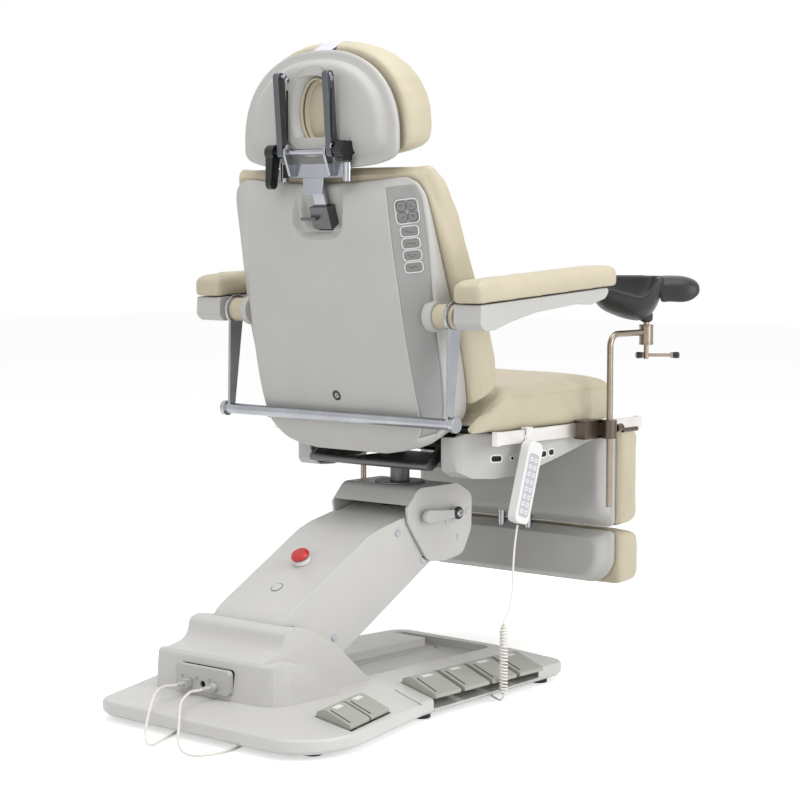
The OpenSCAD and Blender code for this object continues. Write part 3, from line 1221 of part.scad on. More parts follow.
in_frame() base_plate();
in_frame() base_feet();
in_frame() base_cover();
in_frame() base_bracket();
in_frame() socket_panel();
in_frame() pedal_pins();
in_frame() pedal(0);  // pedal_1
in_frame() pedal(1);  // pedal_2
in_frame() pedal(2);  // pedal_3
in_frame() pedal(3);  // pedal_4
in_frame() pedal(4);  // pedal_5
in_frame() pedal(5);  // pedal_6
in_frame() pedal(6);  // pedal_7
in_frame() arm_shell();
in_frame() arm_fittings();
in_frame() stop_button();
in_frame() level_link();
in_frame() head_housing();
in_frame() swivel_disc();
in_frame() lock_lever();
in_frame() swivel_frame();
in_frame() seat_chassis();
in_frame() seat_covers();
in_frame() rails();
in_frame() seat_cushion();
in_frame() handset();
in_frame() support_clamps();
in_frame() back_frame();
in_frame() back_shell();
in_frame() back_cushion();
in_frame() arm_bosses();
in_frame() control_panel();
in_frame() head_clamp();
in_frame() t_bracket();
in_frame() head_links();
in_frame() cam_lever();
in_frame() star_knob();
in_frame() headrest_shell();
in_frame() headrest_cushion();
in_frame() face_plug();
in_frame() leg_shell();
in_frame() leg_cushion();
in_frame() foot_shell();
in_frame() foot_cushion();
in_frame() armrest_shell();  // armrest_shell_left
in_frame() mirror([1, 0, 0]) armrest_shell();  // armrest_shell_right
in_frame() armrest_pad();  // armrest_pad_left
in_frame() mirror([1, 0, 0]) armrest_pad();  // armrest_pad_right
in_frame() roll_bar();
in_frame() support_rod();  // support_rod_left
in_frame() mirror([1, 0, 0]) support_rod();  // support_rod_right
in_frame() mirror([1, 0, 0]) cradle();  // cradle_left
in_frame() cradle();  // cradle_right
in_frame() support_screw();  // support_screw_left
in_frame() mirror([1, 0, 0]) support_screw();  // support_screw_right
in_frame() clamp_lever();  // clamp_lever_left
in_frame() mirror([1, 0, 0]) clamp_lever();  // clamp_lever_right
in_frame() data_cord();
in_frame() supply_cord();
in_frame() handset_cord();
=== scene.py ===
"""Electric examination chair: the looks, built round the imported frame.

Every place is given by at(x, y, z) in millimetres from the swivel axis, +X the patient's left,
-Y the foot end and +Z up, and comes out in metres in the frame's own axes.
"""
import json
import math

import bmesh
import bpy
from mathutils import Vector
from mathutils.bvhtree import BVHTree
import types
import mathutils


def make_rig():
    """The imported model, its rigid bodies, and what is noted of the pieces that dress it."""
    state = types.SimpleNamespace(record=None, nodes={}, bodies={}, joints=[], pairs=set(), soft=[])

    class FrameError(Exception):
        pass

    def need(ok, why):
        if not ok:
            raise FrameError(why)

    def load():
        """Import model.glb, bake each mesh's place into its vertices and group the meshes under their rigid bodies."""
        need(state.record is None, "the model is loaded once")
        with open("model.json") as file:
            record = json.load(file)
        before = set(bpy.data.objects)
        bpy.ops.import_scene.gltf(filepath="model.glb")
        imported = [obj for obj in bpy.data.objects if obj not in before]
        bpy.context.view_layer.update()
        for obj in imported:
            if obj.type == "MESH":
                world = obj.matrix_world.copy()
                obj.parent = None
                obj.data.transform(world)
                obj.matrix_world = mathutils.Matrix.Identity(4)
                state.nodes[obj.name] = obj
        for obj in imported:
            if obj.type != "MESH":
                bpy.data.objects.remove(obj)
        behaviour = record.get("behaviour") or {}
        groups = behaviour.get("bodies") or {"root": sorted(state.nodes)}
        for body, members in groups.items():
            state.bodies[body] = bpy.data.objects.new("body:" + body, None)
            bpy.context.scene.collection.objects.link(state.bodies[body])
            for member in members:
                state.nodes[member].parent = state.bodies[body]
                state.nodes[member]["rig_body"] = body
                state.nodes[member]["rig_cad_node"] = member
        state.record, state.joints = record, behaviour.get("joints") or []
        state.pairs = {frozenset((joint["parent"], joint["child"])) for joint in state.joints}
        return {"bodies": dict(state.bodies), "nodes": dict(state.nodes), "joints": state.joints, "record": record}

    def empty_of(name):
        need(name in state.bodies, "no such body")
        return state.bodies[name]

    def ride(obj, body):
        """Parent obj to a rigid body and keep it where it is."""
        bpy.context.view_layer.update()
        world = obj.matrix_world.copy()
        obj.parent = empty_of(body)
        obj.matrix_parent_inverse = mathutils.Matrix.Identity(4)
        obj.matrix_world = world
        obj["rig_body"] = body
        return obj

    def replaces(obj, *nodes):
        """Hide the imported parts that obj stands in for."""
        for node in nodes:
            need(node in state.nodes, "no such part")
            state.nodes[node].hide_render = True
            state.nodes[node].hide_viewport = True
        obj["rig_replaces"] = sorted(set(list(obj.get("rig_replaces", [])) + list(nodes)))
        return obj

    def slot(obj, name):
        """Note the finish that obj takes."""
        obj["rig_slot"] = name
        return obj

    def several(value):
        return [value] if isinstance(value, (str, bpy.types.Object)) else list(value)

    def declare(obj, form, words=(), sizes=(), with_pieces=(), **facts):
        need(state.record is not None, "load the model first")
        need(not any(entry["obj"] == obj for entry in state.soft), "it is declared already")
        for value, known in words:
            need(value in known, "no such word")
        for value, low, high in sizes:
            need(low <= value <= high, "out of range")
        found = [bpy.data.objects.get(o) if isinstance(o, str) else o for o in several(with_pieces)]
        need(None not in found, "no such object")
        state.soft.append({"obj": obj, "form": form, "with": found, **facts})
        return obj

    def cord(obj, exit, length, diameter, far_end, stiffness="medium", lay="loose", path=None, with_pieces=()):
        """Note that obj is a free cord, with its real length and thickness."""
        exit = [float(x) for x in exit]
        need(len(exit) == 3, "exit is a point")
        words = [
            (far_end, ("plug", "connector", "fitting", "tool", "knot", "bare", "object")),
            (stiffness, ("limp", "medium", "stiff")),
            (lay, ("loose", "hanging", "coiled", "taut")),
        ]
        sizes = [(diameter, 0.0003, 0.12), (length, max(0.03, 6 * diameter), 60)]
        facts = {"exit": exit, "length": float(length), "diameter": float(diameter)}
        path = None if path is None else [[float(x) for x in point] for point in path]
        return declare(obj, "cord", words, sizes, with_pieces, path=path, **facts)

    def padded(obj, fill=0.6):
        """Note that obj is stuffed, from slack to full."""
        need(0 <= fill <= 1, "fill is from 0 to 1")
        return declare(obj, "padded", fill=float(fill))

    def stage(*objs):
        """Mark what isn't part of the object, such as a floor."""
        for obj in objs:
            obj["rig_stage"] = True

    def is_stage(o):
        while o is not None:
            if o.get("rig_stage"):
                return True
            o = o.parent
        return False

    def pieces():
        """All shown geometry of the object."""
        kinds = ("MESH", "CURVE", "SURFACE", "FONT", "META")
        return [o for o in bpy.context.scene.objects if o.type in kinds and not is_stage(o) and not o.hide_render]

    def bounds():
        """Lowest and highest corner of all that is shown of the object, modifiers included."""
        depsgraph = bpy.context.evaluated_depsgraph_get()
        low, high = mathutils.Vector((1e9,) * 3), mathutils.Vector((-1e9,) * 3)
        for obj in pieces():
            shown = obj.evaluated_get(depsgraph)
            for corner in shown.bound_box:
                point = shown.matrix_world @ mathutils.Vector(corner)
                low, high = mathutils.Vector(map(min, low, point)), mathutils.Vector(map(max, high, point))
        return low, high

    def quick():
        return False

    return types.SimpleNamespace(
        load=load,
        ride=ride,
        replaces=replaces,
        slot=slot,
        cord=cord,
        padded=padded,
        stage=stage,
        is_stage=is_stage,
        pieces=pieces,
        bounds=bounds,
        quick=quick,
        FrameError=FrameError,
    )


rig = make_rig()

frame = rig.load()
cad_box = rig.bounds()
nodes = frame["nodes"]

MM = 0.001
AXIS_Y = -116


def at(x, y, z):
    """A point in the frame, from millimetres measured from the swivel axis."""
    return Vector((x * MM, (y + AXIS_Y) * MM, z * MM))


def smooth(t):
    """Rises from 0 to 1 as t does, level at both ends."""
    s = max(0.0, min(1.0, t))
    return s * s * (3 - 2 * s)


def linked(name, data):
    """A new object in the scene."""
    obj = bpy.data.objects.new(name, data)
    bpy.context.scene.collection.objects.link(obj)
    return obj


def assign(target, settings):
    """Sets named properties of anything in the scene."""
    for name, value in settings.items():
        setattr(target, name, value)
    return target


# Camera, at the photograph's viewing angle

CAMERA_YAW = math.radians(40.8)
CAMERA_PITCH = math.radians(4.58)
CAMERA_LENS = 99.45
CAMERA_PLACE = at(-2960, 3429, 930)


def make_camera():
    data = bpy.data.cameras.new("camera")
    data.lens = CAMERA_LENS
    data.sensor_width = 36
    camera = linked("camera", data)
    level = math.cos(CAMERA_PITCH)
    look = Vector((math.sin(CAMERA_YAW) * level, -math.cos(CAMERA_YAW) * level, -math.sin(CAMERA_PITCH)))
    camera.location = CAMERA_PLACE
    camera.rotation_euler = look.to_track_quat("-Z", "Y").to_euler()
    bpy.context.scene.camera = camera


# Materials


def add_node(tree, kind, inputs, **settings):
    """A shader node. inputs gives its sockets values, or the outputs that feed them."""
    node = assign(tree.nodes.new("ShaderNode" + kind), settings)
    for key, value in inputs.items():
        if isinstance(value, bpy.types.NodeSocket):
            tree.links.new(value, node.inputs[key])
        else:
            node.inputs[key].default_value = value
    return node


class Recipe:
    """A material's node tree, with short calls for the nodes that the recipes here share."""

    def __init__(self, name, rough, metal=0.0):
        self.name = name
        self.material = bpy.data.materials.new("look_" + name)
        self.material.use_nodes = True
        self.tree = self.material.node_tree
        self.shader = self.tree.nodes["Principled BSDF"]
        self.shader.inputs["Metallic"].default_value = metal
        self.shader.inputs["Roughness"].default_value = rough
        self.place = self.add("TexCoord", {}).outputs["Object"]

    def add(self, kind, inputs, **settings):
        return add_node(self.tree, kind, inputs, **settings)

    def feed(self, socket, value):
        """Links value into one of the main shader's sockets."""
        self.tree.links.new(value, self.shader.inputs[socket])

    def stretched(self, scale):
        """The surface's place, stretched along each axis by scale."""
        return self.add("Mapping", {"Vector": self.place, "Scale": scale}).outputs["Vector"]

    def noise(self, scale, detail=2.0, rough=0.5, place=None):
        inputs = {"Vector": place or self.place, "Scale": scale, "Detail": detail, "Roughness": rough}
        return self.add("TexNoise", inputs).outputs["Fac"]

    def cells(self, scale):
        inputs = {"Vector": self.place, "Scale": scale}
        return self.add("TexVoronoi", inputs, feature="DISTANCE_TO_EDGE").outputs["Distance"]

    def spread(self, value, low, high, a, b):
        """value from low..high carried to a..b."""
        inputs = {"Value": value, "From Min": low, "From Max": high, "To Min": a, "To Max": b}
        return self.add("MapRange", inputs).outputs["Result"]

    def times(self, a, b):
        return self.add("Math", {0: a, 1: b}, operation="MULTIPLY").outputs["Value"]

    def plus(self, a, b):
        return self.add("Math", {0: a, 1: b}, operation="ADD").outputs["Value"]

    def colours(self, value, stops):
        """A colour for value, from stops of (place, colour)."""
        node = self.add("ValToRGB", {"Fac": value})
        ramp = node.color_ramp
        while len(ramp.elements) < len(stops):
            ramp.elements.new(0.5)
        for element, (place, colour) in zip(ramp.elements, stops):
            element.position = place
            element.color = (*linear(colour), 1)
        return node.outputs["Color"]

    def bump(self, height, distance, strength=1.0):
        node = self.add("Bump", {"Height": height, "Distance": distance, "Strength": strength})
        previous = self.shader.inputs["Normal"].links
        if previous:
            self.tree.links.new(previous[0].from_socket, node.inputs["Normal"])
        self.feed("Normal", node.outputs["Normal"])


def linear(colour):
    """Linear values for a colour written as it shows on a screen."""
    return [c / 12.92 if c <= 0.04045 else ((c + 0.055) / 1.055) ** 2.4 for c in colour]


def shade(colour, k):
    return [min(1.0, c * k) for c in colour]


def moulded(name, colour, rough, grain, depth, vary):
    """Moulded plastic or sprayed paint: a fine grain, faint clouding and uneven gloss."""
    r = Recipe(name, rough)
    cloud = r.noise(7, 3)
    fine = r.noise(grain, 2)
    tone = r.plus(r.times(cloud, 0.8), r.times(fine, 0.2))
    r.feed("Base Color", r.colours(tone, [(0.3, shade(colour, 1 - vary)), (0.7, shade(colour, 1 + vary))]))
    r.feed("Roughness", r.spread(r.noise(35, 3), 0.3, 0.7, rough - 0.05, rough + 0.06))
    r.bump(fine, depth)
    return r


def metal(name, colour, rough, brush, depth):
    """Plated or brushed metal: streaks along one way and faint handling marks."""
    r = Recipe(name, rough, 1.0)
    streaks = r.noise(500, 3, 0.6, r.stretched(brush))
    tones = [(0.3, shade(colour, 0.95)), (0.7, shade(colour, 1.03))]
    r.feed("Base Color", r.colours(r.noise(16, 3), tones))
    marks = r.spread(r.noise(60, 4), 0.45, 0.75, 0, 0.06)
    r.feed("Roughness", r.plus(r.spread(streaks, 0.3, 0.7, rough - 0.04, rough + 0.05), marks))
    r.bump(streaks, depth)
    return r


LEATHER = (0.765, 0.728, 0.635)
LEATHER_ROUGH = 0.46
PAINT = (0.795, 0.79, 0.778)
PLASTIC = (0.745, 0.742, 0.727)


def leather(name):
    """Synthetic leather: small pebbles with finer wrinkles, a slight mottle and a soft sheen."""
    r = Recipe(name, LEATHER_ROUGH)
    pebbles = r.spread(r.cells(620), 0, 0.12, 0, 1)
    wrinkles = r.noise(260, 4, 0.6)
    mottle = r.noise(9, 4)
    tone = r.plus(r.times(mottle, 0.75), r.times(wrinkles, 0.25))
    tones = [(0.32, shade(LEATHER, 0.965)), (0.5, LEATHER), (0.7, shade(LEATHER, 1.03))]
    r.feed("Base Color", r.colours(tone, tones))
    r.feed("Roughness", r.spread(wrinkles, 0.3, 0.7, LEATHER_ROUGH - 0.05, LEATHER_ROUGH + 0.08))
    r.bump(pebbles, 0.00007, 0.7)
    r.bump(wrinkles, 0.00018, 0.6)
    r.shader.inputs["Sheen Weight"].default_value = 0.06
    r.shader.inputs["Specular IOR Level"].default_value = 0.42
    return r


# Mouldings: name, colour, roughness, grain, its depth and clouding
MOULDINGS = [
    ("paint", PAINT, 0.36, 420, 0.00007, 0.012),
    ("shell_plastic", PLASTIC, 0.46, 1300, 0.00006, 0.016),
    ("olive_plastic", (0.655, 0.66, 0.625), 0.5, 1100, 0.00006, 0.025),
    ("black_rubber", (0.07, 0.07, 0.075), 0.7, 700, 0.0001, 0.1),
    ("soft_foam", (0.066, 0.066, 0.088), 0.42, 420, 0.00012, 0.08),
    ("black_plastic", (0.045, 0.045, 0.05), 0.34, 1000, 0.00005, 0.08),
    ("white_plastic", (0.90, 0.90, 0.895), 0.36, 1000, 0.00003, 0.012),
    ("red_plastic", (0.76, 0.17, 0.15), 0.34, 900, 0.00003, 0.04),
    ("panel_plastic", (0.60, 0.60, 0.595), 0.5, 1200, 0.00006, 0.02),
    ("mark_white", (0.88, 0.88, 0.88), 0.5, 900, 0.00003, 0.01),
    # painted shade: a dark olive that stands for the shade down in the pedals' grooves
    ("groove_dark", (0.16, 0.165, 0.15), 0.6, 900, 0.00003, 0.02),
    ("mark_dark", (0.30, 0.30, 0.31), 0.5, 900, 0.00003, 0.02),
    ("key_grey", (0.50, 0.50, 0.49), 0.5, 900, 0.00004, 0.03),
    ("handset_grey", (0.72, 0.735, 0.755), 0.5, 900, 0.00003, 0.02),
    ("cord_vinyl", (0.90, 0.885, 0.86), 0.42, 500, 0.00008, 0.02),
    ("strap_cloth", (0.83, 0.82, 0.86), 0.8, 800, 0.0002, 0.03),
    # painted shade: a near black that stands for the shade inside ports, holes and slots
    ("cavity", (0.045, 0.045, 0.05), 0.8, 500, 0.00005, 0.1)]
# Metals: name, colour, roughness, how the streaks are stretched along each axis, their depth
METALS = [
    ("steel", (0.42, 0.425, 0.43), 0.42, (1, 1, 0.15), 0.00002),
    ("chrome", (0.66, 0.67, 0.69), 0.14, (1, 1, 1), 0.000008),
    ("satin_steel", (0.40, 0.41, 0.43), 0.3, (1, 1, 0.1), 0.00002),
    ("nickel", (0.60, 0.55, 0.50), 0.27, (1, 1, 0.1), 0.00002),
    ("dark_nickel", (0.40, 0.36, 0.325), 0.32, (1, 1, 0.2), 0.00002),
    ("rail_metal", (0.90, 0.89, 0.875), 0.34, (1, 0.06, 1), 0.00002)]


def make_materials():
    recipes = [moulded(*row) for row in MOULDINGS] + [metal(*row) for row in METALS]
    made = {r.name: r for r in recipes + [leather("leather_tan")]}
    made["soft_foam"].shader.inputs["Sheen Weight"].default_value = 0.12
    return {name: r.material for name, r in made.items()}


make_camera()
M = make_materials()
# Slots of the materials that have none of their own name in the record
SLOTS = {"satin_steel": "chrome", "dark_nickel": "nickel", "groove_dark": "olive_plastic",
         "mark_dark": "panel_plastic", "key_grey": "panel_plastic", "mark_white": "white_plastic",
         "handset_grey": "white_plastic", "strap_cloth": "white_plastic", "cavity": "black_plastic"}


# Mesh helpers

WELD = 0.00001


def new_object(name, data, material, body=None):
    """An object for a mesh or curve, with its material, its slot and the body that it rides on."""
    obj = linked(name, data)
    data.materials.append(M[material])
    if body:
        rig.ride(obj, body)
    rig.slot(obj, SLOTS.get(material, material))
    return obj


def mesh_from(name, points, faces):
    mesh = bpy.data.meshes.new(name)
    mesh.from_pydata([tuple(p) for p in points], [], faces)
    mesh.update()
    return mesh


def tube_skin(name, rings, material, body, first=True, last=True, degrees=35):
    """A skin over closed rings of equal count. first and last say which end rings get a face."""
    n, k = len(rings[0]), len(rings)
    faces = [(i * n + j, i * n + (j + 1) % n, (i + 1) * n + (j + 1) % n, (i + 1) * n + j)
             for i in range(k - 1) for j in range(n)]
    faces += [tuple(range(n))] * first + [tuple((k - 1) * n + j for j in range(n))] * last
    return solid(name, [p for ring in rings for p in ring], faces, material, body, degrees)


def solid(name, points, faces, material, body, degrees):
    """An object for the given faces, turned outwards and smoothed up to an angle."""
    mesh = mesh_from(name, points, faces)
    bm = bmesh.new()
    bm.from_mesh(mesh)
    bmesh.ops.delete(bm, geom=[v for v in bm.verts if not v.link_faces], context="VERTS")
    bmesh.ops.recalc_face_normals(bm, faces=bm.faces)
    bm.to_mesh(mesh)
    bm.free()
    mesh.shade_smooth()
    mesh.set_sharp_from_angle(angle=math.radians(degrees))
    return new_object(name, mesh, material, body)


def modify(obj, kind, **settings):
    """Gives obj a modifier."""
    return assign(obj.modifiers.new(kind.lower(), kind), settings)


def add_bevel(obj, width, segments, degrees):
    modify(obj, "BEVEL", width=width, segments=segments, limit_method="ANGLE",
           angle_limit=math.radians(degrees))
    modify(obj, "WEIGHTED_NORMAL", keep_sharp=True, weight=80)


def apply_modifiers(obj):
    """Replaces obj's mesh by the one its modifiers give."""
    graph = bpy.context.evaluated_depsgraph_get()
    graph.update()
    mesh = bpy.data.meshes.new_from_object(obj.evaluated_get(graph), depsgraph=graph)
    obj.modifiers.clear()
    old = obj.data
    obj.data = mesh
    bpy.data.meshes.remove(old)


def welded_copy(node):
    """The node's mesh with its split corners joined and its flat faces whole."""
    bm = bmesh.new()
    bm.from_mesh(nodes[node].data)
    bmesh.ops.remove_doubles(bm, verts=bm.verts, dist=WELD)
    bmesh.ops.dissolve_limit(bm, angle_limit=math.radians(0.6), verts=bm.verts, edges=bm.edges)
    return bm


def islands(bm):
    """The bmesh's separate pieces, each as a list of its faces."""
    left = set(bm.faces)
    found = []
    while left:
        stack = [left.pop()]
        piece = []
        while stack:
            face = stack.pop()
            piece.append(face)
            for edge in face.edges:
                for other in edge.link_faces:
                    if other in left:
                        left.remove(other)
                        stack.append(other)
        found.append(piece)
    return found


def dressed(node, material, bevel, segments=2, degrees=35, parts=(), only=None):
    """A copy of a CAD node with softened edges, which stands for it. parts are (material, test)
    for its separate solids: the first test that a solid's middle and size pass gives its material.
    only is a test that a solid passes to be there at all."""
    bm = welded_copy(node)
    for piece in islands(bm):
        corners = [v.co for f in piece for v in f.verts]
        low = Vector([min(c[i] for c in corners) for i in range(3)])
        high = Vector([max(c[i] for c in corners) for i in range(3)])
        middle, size = (low + high) / 2 / MM, (high - low) / MM
        middle.y -= AXIS_Y
        if only and not only(middle, size):
            bmesh.ops.delete(bm, geom=piece, context="FACES")
            continue
        index = 0
        for i, (_, test) in enumerate(parts):
            if test(middle, size):
                index = i + 1
                break
        for face in piece:
            face.material_index = index
            face.smooth = True
    mesh = bpy.data.meshes.new(node + "_dressed")
    bm.to_mesh(mesh)
    bm.free()
    obj = new_object(node + "_dressed", mesh, material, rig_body(node))
    for name, _ in parts:
        mesh.materials.append(M[name])
    mesh.set_sharp_from_angle(angle=math.radians(degrees))
    add_bevel(obj, bevel * MM, segments, degrees)
    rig.replaces(obj, node)


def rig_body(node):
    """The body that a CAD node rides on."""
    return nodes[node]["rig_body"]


def catmull(points, n):
    """Points on a smooth curve through the given ones, n to each span."""
    out = []
    for i in range(len(points) - 1):
        a, b = points[max(0, i - 1)], points[i]
        c, d = points[i + 1], points[min(len(points) - 1, i + 2)]
        for k in range(n):
            t = k / n
            out.append(0.5 * (2 * b + (c - a) * t + (2 * a - 5 * b + 4 * c - d) * t * t
                              + (3 * b - a - 3 * c + d) * t ** 3))
    return out + [points[-1]]


def lines(name, paths, diameter, material, body, closed=False, resolution=2):
    """Round lines in one object, each along its own points. diameter is in millimetres."""
    data = assign(bpy.data.curves.new(name, "CURVE"), {
        "dimensions": "3D", "bevel_depth": diameter / 2 * MM, "bevel_resolution": resolution,
        "use_fill_caps": not closed})
    for points in paths:
        spline = data.splines.new("POLY")
        spline.points.add(len(points) - 1)
        for point, place in zip(spline.points, points):
            point.co = (*place, 1)
        spline.use_cyclic_u = closed
    return new_object(name, data, material, body)


def walled(obj, thickness, outward):
    """Turns an open skin so that its faces look along outward on the whole, and gives it a wall."""
    mesh = obj.data
    total = Vector((0, 0, 0))
    for polygon in mesh.polygons:
        total += polygon.normal * polygon.area
    if total.dot(Vector(outward)) < 0:
        mesh.flip_normals()
    modify(obj, "SOLIDIFY", thickness=thickness * MM, offset=-1)


def grid_skin(name, rows, material, body, keep=lambda i, j: True, degrees=50):
    """An open skin over rows of points. keep(i, j) says which of its squares are there."""
    n = len(rows[0])
    faces = [(i * n + j, i * n + j + 1, (i + 1) * n + j + 1, (i + 1) * n + j)
             for i in range(len(rows) - 1) for j in range(n - 1) if keep(i, j)]
    return solid(name, [p for row in rows for p in row], faces, material, body, degrees)


def rounded_box(w, h, r, steps=5, low_r=None):
    """A rectangle w by h about the origin, its corners of radius r, or of low_r at the foot."""
    out = []
    for k, (sx, sy) in enumerate(((1, 1), (-1, 1), (-1, -1), (1, -1))):
        if k == 2:
            r = low_r or r
        for i in range(steps + 1):
            a = math.pi / 2 * (k + i / steps)
            out.append((sx * (w / 2 - r) + r * math.cos(a), sy * (h / 2 - r) + r * math.sin(a)))
    return out


def ring_points(r, steps):
    """Points round a circle, as (a, b)."""
    angles = [2 * math.pi * i / steps for i in range(steps)]
    return [(r * math.cos(a), r * math.sin(a)) for a in angles]


class Spot:
    """A place on a surface with its outward normal and its up direction, in the frame's axes."""

    def __init__(self, place, normal, up):
        self.place = Vector(place)
        self.normal = Vector(normal).normalized()
        up = Vector(up)
        self.up = (up - self.normal * up.dot(self.normal)).normalized()
        self.right = self.up.cross(self.normal)

    def at(self, a, b, c=0.0):
        """a to the right, b up and c out, in millimetres."""
        return self.place + (self.right * a + self.up * b + self.normal * c) * MM

    def moved(self, a, b, c=0.0):
        return Spot(self.at(a, b, c), self.normal, self.up)


def upright(x, y, z):
    """A spot that faces up, in millimetres from the swivel axis."""
    return Spot(at(x, y, z), (0, 0, 1), (0, 1, 0))


def prisms(name, items, material, body, bevel=0.3):
    """Raised pieces in one object. Each item is (spot, outline, low, high) in millimetres."""
    points, faces = [], []
    for spot, outline, low, high in items:
        base, n = len(points), len(outline)
        points += [spot.at(a, b, low) for a, b in outline] + [spot.at(a, b, high) for a, b in outline]
        faces += [(base + i, base + (i + 1) % n, base + n + (i + 1) % n, base + n + i) for i in range(n)]
        faces += [tuple(base + n + i for i in range(n)), tuple(base + n - 1 - i for i in range(n))]
    obj = solid(name, points, faces, material, body, 40)
    if bevel:
        add_bevel(obj, bevel * MM, 2, 50)


def turned(name, items, material, body, steps=28):
    """Turned pieces in one object. Each item is (spot, profile), a profile (radius, height) from
    its foot to its crown, in millimetres along the spot's normal."""
    points, faces = [], []
    for spot, profile in items:
        for k, (r, h) in enumerate(profile):
            low, high = len(points) - steps, len(points)
            points += [spot.at(a, b, h) for a, b in ring_points(max(r, 0.01), steps)]
            if k:
                faces += [(low + i, low + (i + 1) % steps, high + (i + 1) % steps, high + i)
                          for i in range(steps)]
        faces.append(tuple(high + i for i in range(steps)))
        foot = high - steps * (len(profile) - 1)
        faces.append(tuple(foot + steps - 1 - i for i in range(steps)))
    solid(name, points, faces, material, body, 35)


def tree_of(mesh):
    """A search tree over a mesh's faces."""
    return BVHTree.FromPolygons([v.co for v in mesh.vertices], [q.vertices for q in mesh.polygons])


def cast(node, start, direction, up=(0, 0, 1)):
    """The place on a node's surface that a ray from start, in millimetres, meets."""
    place, normal, _, _ = tree_of(nodes[node].data).ray_cast(at(*start), Vector(direction).normalized())
    if normal.dot(Vector(direction)) > 0:
        normal = -normal
    return Spot(place, normal, up)


def length_of(points):
    return sum((b - a).length for a, b in zip(points, points[1:]))


# Cords: the routes of the CAD model, in millimetres from the swivel axis

CORD_D = 5
CURLY_CORD_D = 4
DATA_ROUTE = [
    (38, 598.3, 64), (38, 608, 64), (30, 640, 68), (6, 682, 66), (-32, 732, 50), (-70, 778, 24),
    (-92, 794, 8), (-94, 782, 3), (-80, 750, 3), (-66, 712, 4), (-58, 680, 7), (-56, 668, 9)]
SUPPLY_ROUTE = [
    (-30, 598.3, 64), (-30, 608, 64), (-38, 638, 66), (-70, 690, 60), (-114, 737, 40), (-156, 779, 16),
    (-190, 795, 5), (-215, 781, 3), (-226, 748, 3), (-228, 713, 4), (-224, 680, 7), (-222, 668, 9)]
HANG_ROUTE = [
    (-313, 8, 337), (-313, 12, 322), (-316, 22, 290), (-323, 35, 250), (-333, 50, 212), (-343, 72, 182),
    (-348, 91, 168)]
LEAD_ROUTE = [(-346, 98, 9), (-334, 90, 4), (-312, 80, 5), (-296, 74, 9)]
LEAD_END = (-294, 74, 9.4)
CURL_TOP = (-351, 99, 160)
CURL_LOW = (-351, 99, 14)
CURLS = 23
CURL_STEPS = 16
CURL_D = 17


def routed(route, n):
    """A smooth curve along a route, n points to each span."""
    return catmull([at(*p) for p in route], n)


def cord(name, node, points, diameter, stiffness, lay):
    """A cord along points, which stands for a CAD node."""
    obj = lines(name, [points], diameter, "cord_vinyl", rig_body(node), resolution=4)
    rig.replaces(obj, node)
    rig.cord(obj, exit=points[0], length=length_of(points), diameter=diameter * MM, far_end="object",
            stiffness=stiffness, lay=lay)


def handset_cord():
    top, low = at(*CURL_TOP), at(*CURL_LOW)
    turns = CURLS * CURL_STEPS
    radius = (CURL_D - CURLY_CORD_D) * MM / 2
    curl = []
    for i in range(turns + 1):
        s = i / turns
        a = 2 * math.pi * i / CURL_STEPS
        r = radius * smooth(s * 12) * smooth((1 - s) * 12)
        curl.append(top * (1 - s) + low * s + Vector((r * math.cos(a), r * math.sin(a), 0)))
    points = routed(HANG_ROUTE, 5) + curl + routed(LEAD_ROUTE, 5) + [at(*LEAD_END)]
    cord("curly_cord", "handset_cord", points, CURLY_CORD_D, "limp", "hanging")


cord("round_cord", "data_cord", routed(DATA_ROUTE, 8), CORD_D, "medium", "loose")
cord("mains_cord", "supply_cord", routed(SUPPLY_ROUTE, 8), CORD_D, "medium", "loose")
handset_cord()


# Cushions

CUSHION_FILL = 0.85
CLOTH = {
    "vertex_group_mass": "held", "quality": 4, "mass": 0.3, "tension_stiffness": 18,
    "compression_stiffness": 18, "shear_stiffness": 8, "bending_stiffness": 0.6, "use_pressure": True,
    "uniform_pressure_force": 4.0}
CLOTH_FRAMES = 20


def drawn_in(name, node, inset):
    """The node's own mesh, drawn in by inset along its normals."""
    bm = bmesh.new()
    bm.from_mesh(nodes[node].data)
    bmesh.ops.remove_doubles(bm, verts=bm.verts, dist=WELD)
    bm.normal_update()
    for v, move in [(v, v.normal * -inset) for v in bm.verts]:
        v.co += move
    mesh = bpy.data.meshes.new(name)
    bm.to_mesh(mesh)
    bm.free()
    return mesh


def from_axis(q):
    """A place in the frame as millimetres measured from the swivel axis."""
    return Vector((q.x / MM, q.y / MM - AXIS_Y, q.z / MM))


def reshaped(mesh, change):
    """Moves each point of a mesh by change, which takes and gives millimetres from the swivel axis."""
    for v in mesh.vertices:
        v.co = at(*change(from_axis(v.co)))
    mesh.update()


def cushion(name, node, held, voxel, cap, inset=0.003, soften=6, before=None, after=None):
    """A padded piece that stands for a CAD cushion: its shape is remeshed, blown up as cloth with
    the backing held, limited to cap, and rounded by one subdivision. held(p) says whether a point,
    in millimetres from the swivel axis, is glued to the backing. before and after reshape it."""
    obj = new_object(name, drawn_in(name, node, inset), "leather_tan")
    if before:
        reshaped(obj.data, before)
    modify(obj, "REMESH", mode="VOXEL", voxel_size=voxel)
    apply_modifiers(obj)
    modify(obj, "SMOOTH", factor=0.5, iterations=soften)
    apply_modifiers(obj)
    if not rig.quick():
        blow_up(obj, held, cap)
    if after:
        reshaped(obj.data, after)
    modify(obj, "SUBSURF", levels=1, render_levels=1)
    apply_modifiers(obj)
    obj.data.materials.clear()
    obj.data.materials.append(M["leather_tan"])
    obj.data.shade_smooth()
    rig.ride(obj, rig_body(node))
    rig.replaces(obj, node)
    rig.padded(obj, CUSHION_FILL)
    return obj


